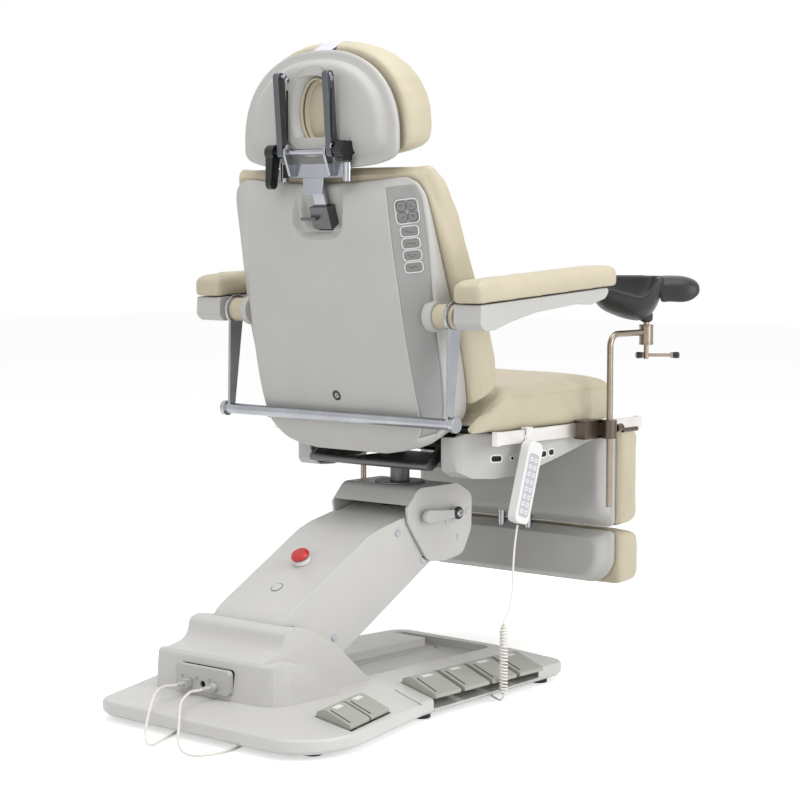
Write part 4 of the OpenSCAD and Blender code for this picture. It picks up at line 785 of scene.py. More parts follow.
def blow_up(obj, held, cap):
    """Some frames of cloth under pressure, with each point's move limited to cap."""
    scene = bpy.context.scene
    start = [v.co.copy() for v in obj.data.vertices]
    group = obj.vertex_groups.new(name="held")
    group.add([v.index for v in obj.data.vertices if held(from_axis(v.co))], 1.0, "REPLACE")
    cloth = modify(obj, "CLOTH")
    assign(cloth.settings, CLOTH)
    cloth.settings.effector_weights.gravity = 0
    cloth.collision_settings.use_collision = False
    for number in range(1, CLOTH_FRAMES + 1):
        scene.frame_set(number)
    graph = bpy.context.evaluated_depsgraph_get()
    blown = [v.co.copy() for v in obj.evaluated_get(graph).data.vertices]
    obj.modifiers.clear()
    scene.frame_set(1)
    for v, a, b in zip(obj.data.vertices, start, blown):
        move = b - a
        if move.length > cap:
            move *= cap / move.length
        v.co = a + move
    obj.data.update()


def eased(points, rounds=3):
    """The points with small steps between them smoothed out."""
    for _ in range(rounds):
        inner = [(a + 2 * b + c) / 4 for a, b, c in zip(points, points[1:], points[2:])]
        points = [points[0]] + inner + [points[-1]]
    return points


BACK_Y = 115
BACK_Z = 510
BACK_LEAN = math.radians(19)
BOARD_N = -59
LEG_BOARD_Y = -396
ARM_BOARD_Z = 781
ARM_SLOPE = math.radians(3.4)


def on_back(x, n, t):
    """A point of the backrest: n behind its hinge and t above it, leaned back."""
    return at(x, BACK_Y + n * math.cos(BACK_LEAN) + t * math.sin(BACK_LEAN),
              BACK_Z - n * math.sin(BACK_LEAN) + t * math.cos(BACK_LEAN))


BACK_OUT = on_back(0, 1, 0) - on_back(0, 0, 0)
BACK_UP = on_back(0, 0, 1) - on_back(0, 0, 0)


def back_depth(p):
    """n and t of a point of the backrest, from millimetres measured from the swivel axis."""
    y, z = p.y - BACK_Y, p.z - BACK_Z
    cos, sin = math.cos(BACK_LEAN), math.sin(BACK_LEAN)
    return y * cos - z * sin, y * sin + z * cos


def seat_skirt(p):
    """The cover's skirt at both sides, drawn down over the edge of the board."""
    drop = 9.5 * smooth((abs(p.x) - 265) / 6) * smooth((566 - p.z) / 34)
    return p.x, p.y, p.z - drop


def head_lower(p):
    """The headrest cushion's lower edge, drawn down to the top of the back cushion."""
    return p.x, p.y, p.z - 15 * smooth((1150 - p.z) / 80)


def leg_reach(p):
    """The leg cushion's lower edge, drawn down to the foot section."""
    return p.x, p.y, p.z - 6 * smooth((330 - p.z) / 30)


def foot_reach(p):
    """The foot cushion's upper edge, drawn up to the leg section."""
    return p.x, p.y, p.z + 15 * smooth((p.z - 225) / 30)


def on_arm_board(p):
    """Whether a point of an armrest pad lies on its shell, which slopes up towards the foot end."""
    return p.z < ARM_BOARD_Z + (216 - p.y) * math.tan(ARM_SLOPE)


seat = cushion("seat_pad", "seat_cushion", lambda p: p.z < 531, 0.0065, 0.005, after=seat_skirt)
cushion("back_pad", "back_cushion", lambda p: back_depth(p)[0] > BOARD_N - 6, 0.0065, 0.005)
head = cushion("head_pad", "headrest_cushion", lambda p: p.y > 218, 0.0055, 0.004, soften=5,
               before=head_lower)
cushion("leg_pad", "leg_cushion", lambda p: p.y > LEG_BOARD_Y, 0.006, 0.005, after=leg_reach)
cushion("foot_pad", "foot_cushion", lambda p: p.y > LEG_BOARD_Y, 0.0055, 0.004, before=foot_reach)
for side in ("left", "right"):
    cushion("arm_pad_" + side, "armrest_pad_" + side, on_arm_board, 0.005, 0.003, inset=0.002, soften=4)


# Moulded backrest shell, drawn as the depth of its skin over x and t

# Sections: t, half width, edge depth, panel depth, panel half width
SHELL_ROWS = [Vector(r) for r in (
    (-22, 128, 30, 44, 96), (-8, 188, 22, 46, 160), (20, 222, 15, 48, 192), (53, 238, 9, 49, 206),
    (130, 250, 2, 46, 207), (227, 255, -8, 34, 203), (320, 255, -24, 18, 198),
    (408, 255, -40, -2, 190), (470, 253, -49, -22, 182), (492, 247, -52, -32, 176),
    (506, 236, -54, -42, 168), (516, 214, -56, -52, 150))]
POCKET_HALF_W = 68
POCKET_T = 408
POCKET_ROUND = 34
POCKET_FLOOR = -47
SHELL_WALL = 3
RIM = 7
CREASE = 5
BAND_LOW, BAND_HIGH = 18, 503
BAND_COLUMN_OUT = 6
STEM_SLOT = 18.5
BOSS_Y = 180
BOSS_Z = 752
SOCKET_T = 99


def interpolated(rows, key):
    """The row at key, on a smooth curve through the given rows, whose first value rises."""
    fine = catmull(rows, 12)
    for a, b in zip(fine, fine[1:]):
        if key <= b[0] or b is fine[-1]:
            return a + (b - a) * max(0.0, min(1.0, (key - a[0]) / (b[0] - a[0])))


def pocket_inside(x, t):
    """How far a point lies inside the pocket's rounded outline, which is open at the top."""
    dx = abs(x - 2) - (POCKET_HALF_W - POCKET_ROUND)
    dt = POCKET_T + POCKET_ROUND - t
    if dx > 0 and dt > 0:
        return POCKET_ROUND - math.hypot(dx, dt)
    return POCKET_ROUND - max(dx, dt)


def shell_depth(row, x):
    """n of the shell's skin at x, for a section."""
    t, half_w, edge, panel, panel_w = row
    slope = (panel - edge) / (half_w - RIM - panel_w)
    d = abs(x) - panel_w
    drop = 0 if d < -CREASE else (d + CREASE) ** 2 / (4 * CREASE) if d < CREASE else d
    n = panel - slope * drop
    inside = pocket_inside(x, t)
    if inside > 0:
        deep = max(0.0, n - POCKET_FLOOR)
        n -= deep * (0.52 * smooth(inside / 9) + 0.48 * smooth((inside - 13) / 8))
    return n


def shell_columns(row):
    """x of the section's points, from the left edge to the middle."""
    _, half_w, _, _, panel_w = row
    out = half_w - RIM
    xs = [out + (panel_w + CREASE - out) * k / 7 for k in range(8)]
    xs += [panel_w + CREASE / 2, panel_w, panel_w - CREASE / 2]
    inner = panel_w - CREASE
    xs += [inner + (78 - inner) * k / 5 for k in range(6)]
    return xs + [78 - 3 * k for k in range(1, 26)]


def shell_ring(t):
    """The section's points at height t, from the left wall over the back to the right wall."""
    row = interpolated(SHELL_ROWS, t)
    half_w = row[1]
    columns = shell_columns(row)
    xs = columns + [0] + [-x for x in reversed(columns)]
    crest = shell_depth(row, half_w - RIM)
    deep = min(RIM, crest - BOARD_N - 1)
    turn = [(half_w - RIM + RIM * math.sin(a), crest - deep * (1 - math.cos(a)))
            for a in (math.pi / 2, math.pi / 3, math.pi / 6)]
    left = [(half_w, BOARD_N + 0.5)] + turn
    ring = left + [(x, shell_depth(row, x)) for x in xs] + [(-x, n) for x, n in reversed(left)]

    def height(x):
        return t - 10 * max(0.0, 1 - (x / 190) ** 2) * smooth((t - 440) / 76)

    return [on_back(x, n, height(x)) for x, n in ring]


def back_coords(q):
    """x, n and t of a place in the frame."""
    p = from_axis(q)
    return (p.x, *back_depth(p))


def on_board(ring):
    """A section's points brought down to the board."""
    return [on_back(x, BOARD_N + 0.5, t) for x, _, t in (back_coords(q) for q in ring)]


def back_skins():
    """The shell with its U-shaped pocket, and the control panel let into its right facet."""
    heights = sorted(set(list(range(-22, 390, 8)) + [BAND_LOW] + list(range(390, 517, 3)) + [BAND_HIGH]))
    rings = [shell_ring(t) for t in heights]
    rings = [on_board(rings[0])] + rings + [on_board(rings[-1])]
    heights = [heights[0]] + heights + [heights[-1]]
    n = len(rings[0])
    band = range(n - 5 - BAND_COLUMN_OUT - 3, n - 5)

    def in_band(i, j):
        return j in band and BAND_LOW <= heights[i] and heights[i + 1] <= BAND_HIGH

    def in_slot(i, j):
        x, depth, t = back_coords(rings[i][j])
        return abs(x + 1) < STEM_SLOT and -44 < depth < -27 and 400 < t < 440

    shell = grid_skin("back_shell_skin", rings, "shell_plastic", "back",
                      lambda i, j: not in_band(i, j) and not in_slot(i, j))
    walled(shell, SHELL_WALL, BACK_OUT)
    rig.replaces(shell, "back_shell")
    panel = grid_skin("control_panel_skin", rings, "panel_plastic", "back", in_band)
    walled(panel, SHELL_WALL, BACK_OUT)
    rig.replaces(panel, "control_panel")


def panel_spot(share, t):
    """A place on the control panel, at a share of the facet's width from its outer edge."""
    def spot(s, h):
        r = interpolated(SHELL_ROWS, h)
        x = (r[1] - RIM) * (1 - s) + (r[4] + CREASE) * s
        return on_back(-x, shell_depth(r, x), h)

    here = spot(share, t)
    up = spot(share, t + 6) - spot(share, t - 6)
    across = spot(min(1, share + 0.2), t) - spot(max(0, share - 0.2), t)
    return Spot(here, across.cross(up) * -1, up)


def outlines(spots, outline, lift):
    """An outline laid at each of the spots."""
    return [[spot.at(a, b, lift) for a, b in outline] for spot in spots]


def control_keys():
    """A cluster of four keys and four long keys, with white rims and plain marks."""
    cluster = panel_spot(0.5, 456)
    small_keys = [cluster.moved(a, b) for b in (10.5, -10.5) for a in (-10.5, 10.5)]
    long_keys = [panel_spot(0.5, t) for t in (419, 396.5, 374, 351.5)]
    key, long_key = rounded_box(17.5, 17.5, 6), rounded_box(29, 14.5, 5)
    prisms("key_pads", [(k, key, -2, 1.6) for k in small_keys] + [(k, long_key, -2, 1.6) for k in long_keys],
           "key_grey", "back", 0.9)
    rims = outlines([cluster], rounded_box(46, 46, 9, 8), 0.5)
    rims += outlines(long_keys, rounded_box(35, 20, 7, 8), 0.5)
    lines("key_rims", rims, 2.0, "mark_white", "back", closed=True)
    edges = outlines(small_keys, rounded_box(18.4, 18.4, 6.4), 0.9)
    lines("key_edges", edges, 0.9, "mark_dark", "back", closed=True)
    marks = []
    for i, k in enumerate(small_keys):
        turns = [math.pi * (0.5 * i + j / 6) for j in range(7 + i)]
        marks.append([k.at(3.2 * math.cos(a), 3.2 * math.sin(a), 1.9) for a in turns])
    seats = [[(-9, 3), (-3, -1), (4, -2), (9, -2)], [(-9, 1), (-3, 1), (3, -1), (9, -1)],
             [(-8, 3), (-3, -2), (3, -2), (7, 2)], [(-9, 3), (-4, -2), (3, 2), (8, -2)]]
    marks += [[k.at(a, b, 1.9) for a, b in seat] for k, seat in zip(long_keys, seats)]
    lines("key_marks", marks, 0.9, "mark_dark", "back")


def back_fittings():
    """The round socket low on the back, and the pads round the armrest bosses."""
    socket = Spot(on_back(0, 47.2, SOCKET_T), BACK_OUT, BACK_UP)
    rim = [(10.5, -2), (10.5, 1.2), (9.4, 1.9), (6.6, 1.9), (5.6, 0.8), (5.2, -1)]
    turned("back_socket", [(socket, rim)], "black_plastic", "back")
    turned("back_socket_pin", [(socket, [(2.4, -1.5), (2.4, 1.0), (1.6, 1.6)])], "steel", "back")
    pads = []
    for side in (-1, 1):
        spot = Spot(at(side * 236, BOSS_Y, BOSS_Z), (side, 0, 0), (0, 0, 1))
        pads.append((spot, [(31, 0), (31, 13), (30, 16), (27.5, 18.2), (24.6, 18.6)]))
    turned("boss_pads", pads, "shell_plastic", "back", 40)


back_skins()
control_keys()
back_fittings()


# Moulded shells of the headrest, leg and foot sections, as rings from the rim to the middle

RING_POINTS = 96
MOULDED_WALL = 3
PLUG_FILL = 0.9


def power(v, k):
    """v to the power of k, with v's own sign."""
    return math.copysign(abs(v) ** k, v)


def dome(half_w, low, middle, high, y):
    """The headrest's outline: a dome with a flatter foot."""
    out = []
    for a, b in ring_points(1, RING_POINTS):
        rise, k = (high - middle, 0.92) if b >= 0 else (middle - low, 0.42)
        out.append(at(half_w * power(a, 0.86), y, middle + rise * power(b, k)))
    return out


HOLE_Z = 1147
HOLE_HALF_W = 42
HOLE_HALF_H = 66
# The shell's rings from its rim to the raised panel: half width, foot, middle, crown, y
DOMES = [
    (201, 1037, 1093, 1264, 232), (203, 1035, 1093, 1266, 239), (202, 1036, 1093, 1265, 243),
    (199, 1039, 1093, 1262, 245), (194, 1044, 1094, 1258, 245.5), (182, 1056, 1097, 1249, 245.5),
    (179, 1059, 1098, 1247, 247), (173, 1064, 1101, 1242, 255.5), (166, 1071, 1103, 1236, 258.6),
    (160, 1077, 1106, 1231, 260), (152, 1084, 1109, 1225, 260.4), (120, 1093, 1120, 1219, 260.6)]
# Rings round the face opening, as growth and y: the shell's, down into it, and the plug's
OPENING_RINGS = [(20, 260.4), (17, 260), (9, 256.5), (3, 251), (0.5, 246), (0, 232)]
PLUG_RINGS = [
    (-1, 226), (-1, 240), (-5, 243.5), (-7, 242), (-9, 238.5), (-11, 237.8), (-13, 239), (-18, 241),
    (-30, 242.5), (-39, 243)]


def opening(grow, y):
    """The face opening's outline, grown by grow."""
    return [at((HOLE_HALF_W + grow) * a, y, HOLE_Z + (HOLE_HALF_H + grow) * b)
            for a, b in ring_points(1, RING_POINTS)]


def headrest():
    """The headrest's shell with its hinge blocks, the opening's welt and plug, and the strap."""
    rings = [dome(*row) for row in DOMES] + [opening(*row) for row in OPENING_RINGS]
    shell = tube_skin("headrest_skin", rings, "shell_plastic", "headrest", False, False, 40)
    walled(shell, MOULDED_WALL, (0, 1, 0))
    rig.replaces(shell, "headrest_shell")
    dressed("headrest_shell", "chrome", 0.8, only=lambda m, size: size.x < 60)
    lines("face_opening_welt", [opening(-3, 249)], 6, "leather_tan", "headrest", closed=True, resolution=4)
    rings = [opening(*row) for row in PLUG_RINGS]
    plug = tube_skin("face_plug_pad", rings, "leather_tan", "headrest", degrees=60)
    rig.replaces(plug, "face_plug")
    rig.padded(plug, PLUG_FILL)
    head_strap()


STRAP_MIDDLE = -2
STRAP_HALF_W = 25
STRAP_THICK = 1


def head_strap():
    """The elastic strap that goes over the cushion's top, from behind to its face."""
    tree = tree_of(head.data)
    angles = [math.radians(64 + 3 * k) for k in range(25)]
    columns = []
    for j in range(9):
        x = STRAP_MIDDLE + STRAP_HALF_W * (j / 4 - 1)
        column = [at(x, 241, 1261.5), at(x, 235, 1267), at(x, 229, 1273)]
        for a in angles:
            way = Vector((0, math.cos(a), math.sin(a)))
            place, normal, _, _ = tree.ray_cast(at(x, 178, 1180) + way * 0.3, -way)
            column.append(place + normal * 0.0014)
        columns.append(eased(column))
    rows = [[column[i] for column in columns] for i in range(len(columns[0]))]
    strap = grid_skin("head_strap", rows, "strap_cloth", "headrest", degrees=60)
    walled(strap, STRAP_THICK, (0, 0.4, 1))


def panel_ring(half_w, low, high, low_r, high_r, y):
    """The outline of the leg or foot section at depth y."""
    outline = rounded_box(2 * half_w, high - low, high_r, 9, low_r)
    return [at(a, y, b + (low + high) / 2) for a, b in outline]


KNUCKLE_X = 166
KNUCKLE_T = 12
KNUCKLE_SIDE = [(-389, 484), (-366, 484), (-372, 516), (-388, 516)]
SLIDE_X = (-48, 26)
SLIDE_Y = -374
SLIDE_PROFILE = [(8, 0), (8, 237), (7.2, 238)]
# Rings of the two shells from the rim to the middle: half width, low, high, low and high radius, y
LEG_RINGS = [
    (266, 287, 497, 16, 12, -390), (266, 287, 497, 16, 12, -383), (264.5, 288.5, 495.5, 18, 13, -380.5),
    (261, 292, 493, 22, 16, -378.5), (258, 299, 490, 30, 18, -372), (253, 303, 486, 36, 24, -364.5),
    (246, 309, 481, 46, 34, -357), (240, 314, 476, 52, 42, -354.4), (232, 320, 470, 54, 46, -354)]
FOOT_RINGS = [
    (266, 166, 278, 60, 12, -390), (266, 166, 278, 60, 12, -381), (264, 168, 276.5, 60, 13, -378.5),
    (259, 170, 275, 58, 15, -376), (253, 173, 269, 56, 17, -368), (246, 177, 267, 52, 19, -360),
    (238, 181, 264, 48, 21, -355), (230, 184, 261, 44, 21, -354)]


def section_shell(body, rings):
    """The shell of the leg or foot section."""
    rings = [panel_ring(*row) for row in rings]
    shell = tube_skin(body + "_shell_skin", rings, "shell_plastic", body, False, True, 30)
    walled(shell, MOULDED_WALL, (0, 1, 0))
    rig.replaces(shell, body + "_shell")


def leg_and_foot():
    """The shells of the leg and foot sections, the hinge knuckles and the slide rods."""
    section_shell("leg", LEG_RINGS)
    places = [Spot(at(x, 0, 0), (1, 0, 0), (0, 0, 1)) for x in (KNUCKLE_X, -KNUCKLE_X - KNUCKLE_T)]
    prisms("leg_knuckles", [(q, KNUCKLE_SIDE, 0, KNUCKLE_T) for q in places], "steel", "leg", 1.5)
    section_shell("foot", FOOT_RINGS)
    slides = [upright(x, SLIDE_Y, 192) for x in SLIDE_X]
    turned("slide_rods", [(q, SLIDE_PROFILE) for q in slides], "chrome", "foot")


headrest()
leg_and_foot()


# Leg supports' cradles

BARREL_X = 338
COLLAR_Y = -395
CRADLE_TURN = math.radians(40.8)
CRADLE_W = 219
CRADLE_WALL = 10
CRADLE_STEPS = 26
# Across the cradle: share of the width, near rim, belly, far rim, half depth, boxiness
CRADLE_ROWS = [Vector(r) for r in (
    (0, 800, 778, 816, 46, 1), (0.1, 797, 759, 820, 53, 1), (0.23, 790, 746, 821, 55, 1),
    (0.34, 783, 739, 821, 55, 1), (0.42, 780, 737, 821, 55, 1), (0.48, 788, 742, 821, 54, 1),
    (0.53, 801, 753, 820, 53, 1), (0.575, 815, 774, 820, 50, 1), (0.60, 820, 797, 820, 46, 0.9),
    (0.606, 818, 806, 820, 44, 0.7), (0.612, 792, 812, 820, 43, 0.5), (0.62, 768, 816, 820, 43, 0.42),
    (0.70, 767, 820, 820, 42, 0.4), (0.80, 766, 820, 820, 42, 0.4), (0.90, 766, 820, 820, 42, 0.4),
    (1, 767, 820, 820, 41, 0.4))]
CRADLE_MIDDLE_Z = 794
# Where the grid's rows lie: closest at the fold, where the flap leaves the trough
CRADLE_SHARES = [0.002] + [k / 40 for k in range(1, 24)] + [
    0.585, 0.592, 0.6, 0.603, 0.606, 0.609, 0.612, 0.616, 0.62, 0.63, 0.645]
CRADLE_SHARES += [0.67 + k * 0.33 / 14 for k in range(14)] + [0.998]
SOCKET_PROFILE = [(8, 724), (12.5, 727), (13.5, 731), (13.5, 742), (10, 744)]
STEM_PROFILE = [(6, 701), (6, 738)]
GRIP_Z = 655
GRIP_WAY = (0.757, -0.653)
GRIP_PROFILE = [(4.2, -17), (5.6, -16), (6.6, -10), (6.9, -3), (5.4, 0.4), (3, 1)]
RING_PROFILE = [(14.4, 0), (15.4, 0.8), (15.4, 2.8), (14.4, 3.6)]


def cradle_row(u, side):
    """Points of the cradle from its near rim, under the knee and up to its far rim."""
    _, near, belly, far, half_d, box = interpolated(CRADLE_ROWS, u)
    narrow = 1.0
    for reach, t in ((0.2, 1 - u), (0.1, u)):
        if t < reach:
            narrow = math.sqrt(max(0.0, 1 - (1 - t / reach) ** 2))
    out = []
    for j in range(CRADLE_STEPS + 1):
        a = math.pi * j / CRADLE_STEPS
        edge = near if j <= CRADLE_STEPS / 2 else far
        z = edge + (belly - edge) * abs(math.sin(a)) ** box
        z = CRADLE_MIDDLE_Z + (z - CRADLE_MIDDLE_Z) * (0.12 + 0.88 * narrow)
        across, along = (0.5 - u) * CRADLE_W, half_d * math.cos(a) * (0.55 + 0.45 * narrow)
        x = -BARREL_X + across * math.cos(CRADLE_TURN) - along * math.sin(CRADLE_TURN)
        y = COLLAR_Y + across * math.sin(CRADLE_TURN) + along * math.cos(CRADLE_TURN)
        out.append(at(-side * x, y, z))
    return out


def cradle(side, name):
    """A cradle with its stem, the collar's rings under it and the grips of its T screw."""
    rows = [cradle_row(u, side) for u in CRADLE_SHARES]
    shell = grid_skin("cradle_shell_" + name, rows, "soft_foam", "saddle_" + name, degrees=180)
    walled(shell, CRADLE_WALL, (0, 0, 1))
    modify(shell, "SUBSURF", levels=1, render_levels=1)
    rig.replaces(shell, "cradle_" + name)
    x = side * BARREL_X
    stem = upright(x, COLLAR_Y, 0)
    turned("cradle_socket_" + name, [(stem, SOCKET_PROFILE)], "soft_foam", "saddle_" + name)
    turned("cradle_stem_" + name, [(stem, STEM_PROFILE)], "nickel", "saddle_" + name)
    lines("cradle_rim_" + name, [[row[0] for row in rows[2:24]]], 2.2, "soft_foam", "saddle_" + name)
    way = Vector((GRIP_WAY[0] * side, GRIP_WAY[1], 0))
    middle = Vector((x, COLLAR_Y, GRIP_Z))
    grips = [Spot(at(*(middle + way * along)), way * sign, (0, 0, 1)) for along, sign in ((-21, -1), (69, 1))]
    turned("screw_grips_" + name, [(q, GRIP_PROFILE) for q in grips], "black_plastic", "screw_" + name)
    rings = [upright(x, COLLAR_Y, z) for z in (678, 714.6)]
    turned("collar_rings_" + name, [(q, RING_PROFILE) for q in rings], "nickel", "support_" + name)


cradle(-1, "right")
cradle(1, "left")


# Rigid pieces kept from the frame, with softened edges


def give(node, material):
    """Shows a CAD node as it is, in a material."""
    obj = nodes[node]
    obj.data.materials.clear()
    obj.data.materials.append(M[material])
    for polygon in obj.data.polygons:
        polygon.material_index = 0
    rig.slot(obj, SLOTS.get(material, material))


def near_middle(middle, size):
    """The pieces of the arm's fittings near its middle plane: screws, plug and collar."""
    return abs(middle.x) < 30 and max(size) < 60


# Node, material, edge's width in millimetres, segments, angle, and the separate solids' materials
DRESSED = [
    ("base_plate", "paint", 1.2, 2, 40), ("base_feet", "black_rubber", 2),
    ("base_cover", "paint", 3.5, 3, 30), ("base_bracket", "steel", 1), ("pedal_pins", "steel", 0.5)]
DRESSED += [(f"pedal_{i}", "olive_plastic", 1.8, 3) for i in range(1, 8)]
DRESSED += [
    ("arm_shell", "paint", 4.5, 4, 28),
    ("arm_fittings", "chrome", 0.8, 2, 35, [
        ("white_plastic", lambda m, s: near_middle(m, s) and m.z > 235), ("paint", near_middle),
        ("steel", lambda m, s: max(s) > 100)]),
    ("stop_button", "red_plastic", 2.5, 4, 30), ("level_link", "steel", 1),
    ("head_housing", "paint", 4, 4, 28), ("swivel_disc", "steel", 0.8), ("lock_lever", "paint", 2, 3, 40),
    ("swivel_frame", "steel", 1), ("seat_chassis", "steel", 1), ("seat_covers", "shell_plastic", 4, 3, 30),
    ("rails", "rail_metal", 1.2, 2, 35, [
        ("white_plastic", lambda m, s: s.y < 15 and s.z > 20),
        ("steel", lambda m, s: s.y < 20 and s.z < 20)]),
    ("handset", "white_plastic", 4, 4), ("support_clamps", "dark_nickel", 1.2),
    ("arm_bosses", "leather_tan", 1.5), ("head_clamp", "steel", 0.8), ("t_bracket", "chrome", 1.2),
    ("head_links", "satin_steel", 0.8), ("cam_lever", "black_plastic", 2, 3),
    ("star_knob", "black_plastic", 2, 3),
    ("roll_bar", "chrome", 0.8, 2, 35, [("white_plastic", lambda m, s: s.x < 12 and s.z < 40)])]
for side in ("left", "right"):
    DRESSED += [
        ("armrest_shell_" + side, "shell_plastic", 3.5, 3, 30), ("support_rod_" + side, "nickel", 0.6),
        ("support_screw_" + side, "nickel", 0.6), ("clamp_lever_" + side, "dark_nickel", 0.8)]
DRESSED.append(("socket_panel", "shell_plastic", 1.5, 3))

for row in DRESSED:
    dressed(*row)
give("back_frame", "steel")


# Small marks, labels and fittings on the surfaces

# Pedal rows as in the CAD: x, y and turn of the first, length, pitch, slant, number, side
PEDAL_ROWS = [
    (-190, -120, 1, 145, 88, 0.52, 4, 1), (-228, 394, 16, 106, 82, 0.70, 2, 1),
    (-152, 348, 0, 74, 82, 0.50, 1, -1)]
PEDAL_W = 76


def bar(w, h):
    """A rectangle w by h about the origin."""
    return [(-w / 2, -h / 2), (w / 2, -h / 2), (w / 2, h / 2), (-w / 2, h / 2)]


def pedal_marks():
    """The label, the grip groove shown as a dark line of painted shade, and dots on each pedal's tread."""
    number = 0
    for x0, y0, turn, length, pitch, slant, count, side in PEDAL_ROWS:
        a = math.radians(turn)
        along = Vector((-math.cos(a), -math.sin(a), 0))
        across = Vector((-math.sin(a), math.cos(a), 0))
        for k in range(count):
            number += 1
            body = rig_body(f"pedal_{number}")

            def tread(u, v):
                """The tread's place at u of its length and v of its width."""
                out = k * pitch + slant * u * length + v * PEDAL_W
                q = Vector((x0, y0, 0)) + along * u * length + across * out
                way = (side * along.x, along.y, 0)
                return cast(f"pedal_{number}", (side * q.x, q.y, 90), (0, 0, -1), way)

            label = [(tread(0.33, 0.45), rounded_box(30, 11, 1.5, 3), -0.6, 0.4)]
            prisms(f"pedal_label_{number}", label, "mark_white", body, 0)
            # The groove's shade is painted: a dark line laid on the tread along it.
            groove = [tread(u / 20, 0.86).at(0, 0, 0.1) for u in range(7, 19)]
            lines(f"pedal_groove_shade_{number}", [groove], 2.4, "groove_dark", body)
            places = [tread(u, v) for u in (0.45, 0.6, 0.75) for v in (0.3, 0.5, 0.7)]
            dots = [(q, ring_points(0.9, 8), -0.2, 0.35) for q in places]
            prisms(f"pedal_dots_{number}", dots, "olive_plastic", body, 0)


def handset_marks():
    """The handset's keypad: an inset pad with two columns of keys."""
    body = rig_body("handset")
    pad = Spot(at(-321.4, -18.5, 419.5), (-1, 0, 0), (0, -0.309, 0.951)).moved(0, -6)
    prisms("handset_pad", [(pad, rounded_box(32, 128, 8, 6), -1, 0.35)], "handset_grey", body, 0.2)
    keys = [pad.moved(a, 52 - 15 * b) for b in range(8) for a in (-7.2, 7.2)]
    prisms("handset_keys", [(k, rounded_box(9, 8, 2, 3), 0, 0.9) for k in keys], "white_plastic", body, 0.25)
    prisms("handset_signs", [(k, bar(4.4, 1.2), 0.8, 1.05) for k in keys], "mark_dark", body, 0)


def cover_ports():
    """The ports on the right side cover, their insides dark with painted shade, and the screw in the rail above them.
    """
    body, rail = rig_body("seat_covers"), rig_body("rails")
    for y, z, w in ((6, 464, 27), (-119, 465, 27), (-147, 466.5, 21)):
        spot = cast("seat_covers", (-400, y, z), (1, 0, 0))
        rim, dark = rounded_box(w, 17, 6.5, 6), rounded_box(w - 6, 11, 4, 5)
        prisms(f"port_rim_{abs(y)}", [(spot, rim, -2.5, 0.8)], "white_plastic", body)
        # Painted shade: a dark insert stands for the shade inside the port.
        prisms(f"port_hole_shade_{abs(y)}", [(spot, dark, -2, 1.0)], "cavity", body, 0)
    spot = cast("seat_covers", (-400, -24, 464), (1, 0, 0))
    turned("port_dot", [(spot, [(5.4, -2), (5.4, 0.6), (4.4, 1.0)])], "white_plastic", body)
    # Painted shade in the dot's hole.
    turned("port_dot_hole_shade", [(spot, [(3.2, -2), (3.2, 1.2)])], "cavity", body)
    screw = Spot(at(-300.4, -36.8, 505.6), (-1, 0, 0), (0, 0, 1))
    turned("rail_screw", [(screw, [(6.4, -1), (6.4, 0.8), (5.4, 1.4)])], "white_plastic", rail)
    turned("rail_screw_hole", [(screw, [(3.2, 0), (3.2, 1.6)])], "mark_dark", rail)


def base_marks():
    """The seam across the floor plate and the marks over the rear panel's sockets."""
    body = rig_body("base_plate")
    seam_line = [at(-230, 281, 40.1), at(-290, 314, 40.1), at(-352, 347, 40.1)]
    lines("plate_seam", [seam_line], 1.3, "mark_dark", body)
    front = Spot(at(0, 598, 64), (0, 1, 0), (0, 0, 1))
    for x in (23, -15, -49):
        marks = [(front.moved(-x, b), bar(w, 1.2), -0.8, 0.25) for b, w in ((21, 6), (17, 4))]
        prisms(f"socket_mark_{abs(x)}", marks, "mark_dark", body, 0)


def neck_plate():
    """The bright plate at the foot of the headrest's bracket."""
    spot = Spot(at(0, 258.5, 1001), (0, 1, 0), (0, 0, 1))
    outline = [(-24, -16), (24, -16), (28, 17), (-28, 17)]
    prisms("neck_plate", [(spot, outline, -2, 2)], "chrome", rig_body("t_bracket"), 0.8)


def link_details():
    """Slots, drawn as dark bars of painted shade, and screws on the outer faces of the headrest's links."""
    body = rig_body("head_links")
    for x in (-72.2, 44.5):
        number = int(abs(x))
        face = Spot(at(x, 285, 1140), (-1, 0, 0), (0, 0, 1))
        # Painted shade: a dark bar stands for the shade in the slot.
        prisms(f"link_slot_shade_{number}", [(face, rounded_box(4.5, 96, 2.2, 4), -1, 0.3)], "cavity", body, 0)
        screws = [(face.moved(0, h), [(4.6, -0.5), (4.6, 2), (3.8, 2.8)]) for h in (-62, 66)]
        turned(f"link_screws_{number}", screws, "chrome", body)


def lever_boss():
    """The dark ring and bright screw on the boss of the swivel lock's lever."""
    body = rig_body("lock_lever")
    spot = cast("lock_lever", (-300, -47, 339), (1, 0, 0))
    ring = [(13, -3), (13, 1.5), (11.5, 3), (8.5, 3), (8, 1)]
    screw = [(8, 0), (8, 3.4), (6.5, 5), (3.6, 5.2), (3.2, 3), (1.5, 2.8)]
    turned("lever_ring", [(spot, ring)], "black_plastic", body)
    turned("lever_screw", [(spot, screw)], "chrome", body)


def plug_ring():
    """The outline of the blanking plug in the arm's upper face."""
    middle = cast("arm_shell", (0, 366, 500), (0, 0, -1), (0, -1, 0))
    ring = [middle.at(a, b, 0.1) for a, b in ring_points(12.4, 32)]
    lines("plug_outline", [ring], 1.1, "mark_dark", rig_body("arm_shell"), closed=True)


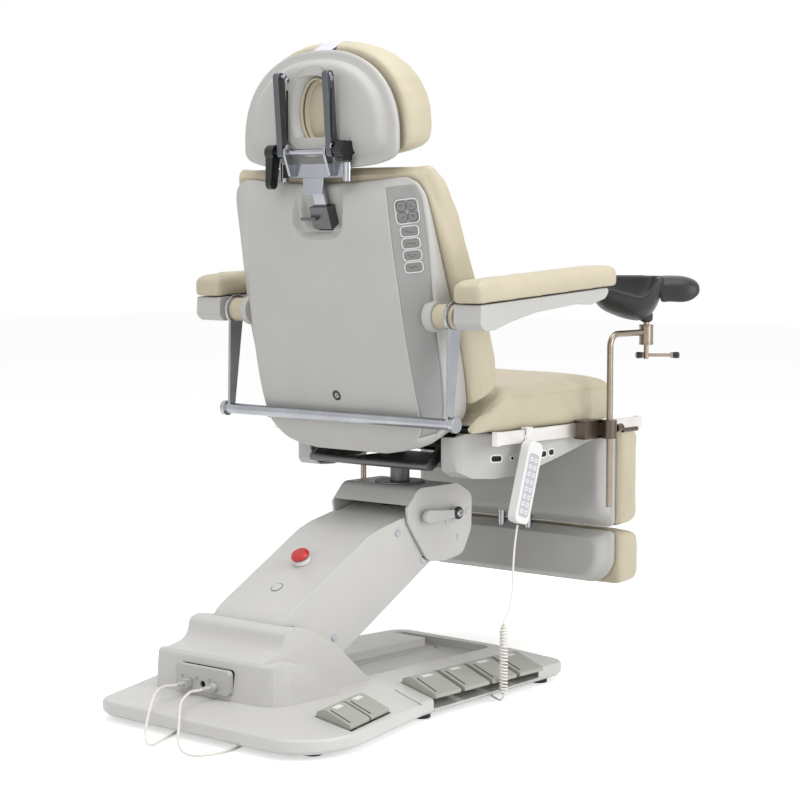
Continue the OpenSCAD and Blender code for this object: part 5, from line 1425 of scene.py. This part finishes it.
def seat_welt():
    """The welt below the seat cushion's top, along both sides and the front."""
    side = [(288, 96), (288, 40), (288, -60), (288, -160), (288, -260), (287, -335), (276, -362), (240, -373)]
    path = [at(-x, y, 589) for x, y in side] + [at(x, y, 589) for x, y in reversed(side)]
    tree = tree_of(seat.data)
    laid = []
    for p in catmull(path, 10):
        place, normal, _, _ = tree.find_nearest(p)
        laid.append(place + normal * 0.0002)
    lines("seat_welt", [eased(laid)], 2.4, "leather_tan", seat["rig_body"], resolution=4)


plug_ring()
seat_welt()
lever_boss()
pedal_marks()
handset_marks()
cover_ports()
base_marks()
neck_plate()
link_details()


# Floor, backdrop and light

FLOOR_HALF = 14.0
FLOOR_GLOW = 0.52
AMBIENT = 0.5


def seen(tree, rays):
    """1 where one of the named kinds of ray looks, else 0."""
    path = add_node(tree, "LightPath", {})
    total = 0.0
    for ray in rays:
        inputs = {0: total, 1: path.outputs[f"Is {ray} Ray"]}
        total = add_node(tree, "Math", inputs, operation="MAXIMUM").outputs["Value"]
    return total


def make_stage():
    """A plain floor that shows near white and keeps the shadow."""
    corners = [(a * FLOOR_HALF, b * FLOOR_HALF, 0) for a, b in ((-1, -1), (1, -1), (1, 1), (-1, 1))]
    mesh = mesh_from("floor", corners, [(0, 1, 2, 3)])
    floor = linked("floor", mesh)
    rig.stage(floor)
    material = bpy.data.materials.new("floor")
    material.use_nodes = True
    tree = material.node_tree
    tree.nodes.clear()
    diffuse = add_node(tree, "BsdfDiffuse", {"Color": (0.9, 0.9, 0.9, 1)})
    level = add_node(tree, "Math", {0: seen(tree, ("Camera", "Glossy")), 1: FLOOR_GLOW}, operation="MULTIPLY")
    glow = add_node(tree, "Emission", {"Strength": level.outputs["Value"]})
    both = add_node(tree, "AddShader", {0: diffuse.outputs["BSDF"], 1: glow.outputs["Emission"]})
    add_node(tree, "OutputMaterial", {"Surface": both.outputs["Shader"]})
    mesh.materials.append(material)


def make_world():
    """White where the camera or a reflection sees it, and a plain ambient light elsewhere."""
    world = bpy.data.worlds.new("world")
    bpy.context.scene.world = world
    world.use_nodes = True
    tree = world.node_tree
    background = tree.nodes["Background"]
    background.inputs["Color"].default_value = (1, 1, 1, 1)
    inputs = {"Value": seen(tree, ("Camera", "Glossy", "Transmission")), "To Min": AMBIENT, "To Max": 1.0}
    level = add_node(tree, "MapRange", inputs)
    tree.links.new(level.outputs["Result"], background.inputs["Strength"])


# Lamps: name, place, the point each one faces, its width, and its power
LAMPS = [
    ("top", (-0.4, 0.4, 3.4), (0, 0, 0.5), 2.8, 62), ("right", (-3.4, -0.5, 1.5), (0, 0, 0.55), 2.0, 50),
    ("rear", (-0.6, 3.8, 2.0), (0, 0, 0.6), 2.0, 24)]


def make_lights():
    for name, place, target, width, power in LAMPS:
        data = bpy.data.lights.new(name, "AREA")
        data.shape = "RECTANGLE"
        data.size = data.size_y = width
        data.energy = power
        light = linked(name, data)
        light.location = place
        light.rotation_euler = (Vector(target) - Vector(place)).to_track_quat("-Z", "Y").to_euler()


make_stage()
make_world()
make_lights()
bpy.context.scene.view_settings.view_transform = "Standard"

with open("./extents.json", "w") as size_file:
    json.dump({"cad": [list(map(float, p)) for p in cad_box],
               "visual": [list(map(float, p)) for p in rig.bounds()]}, size_file)
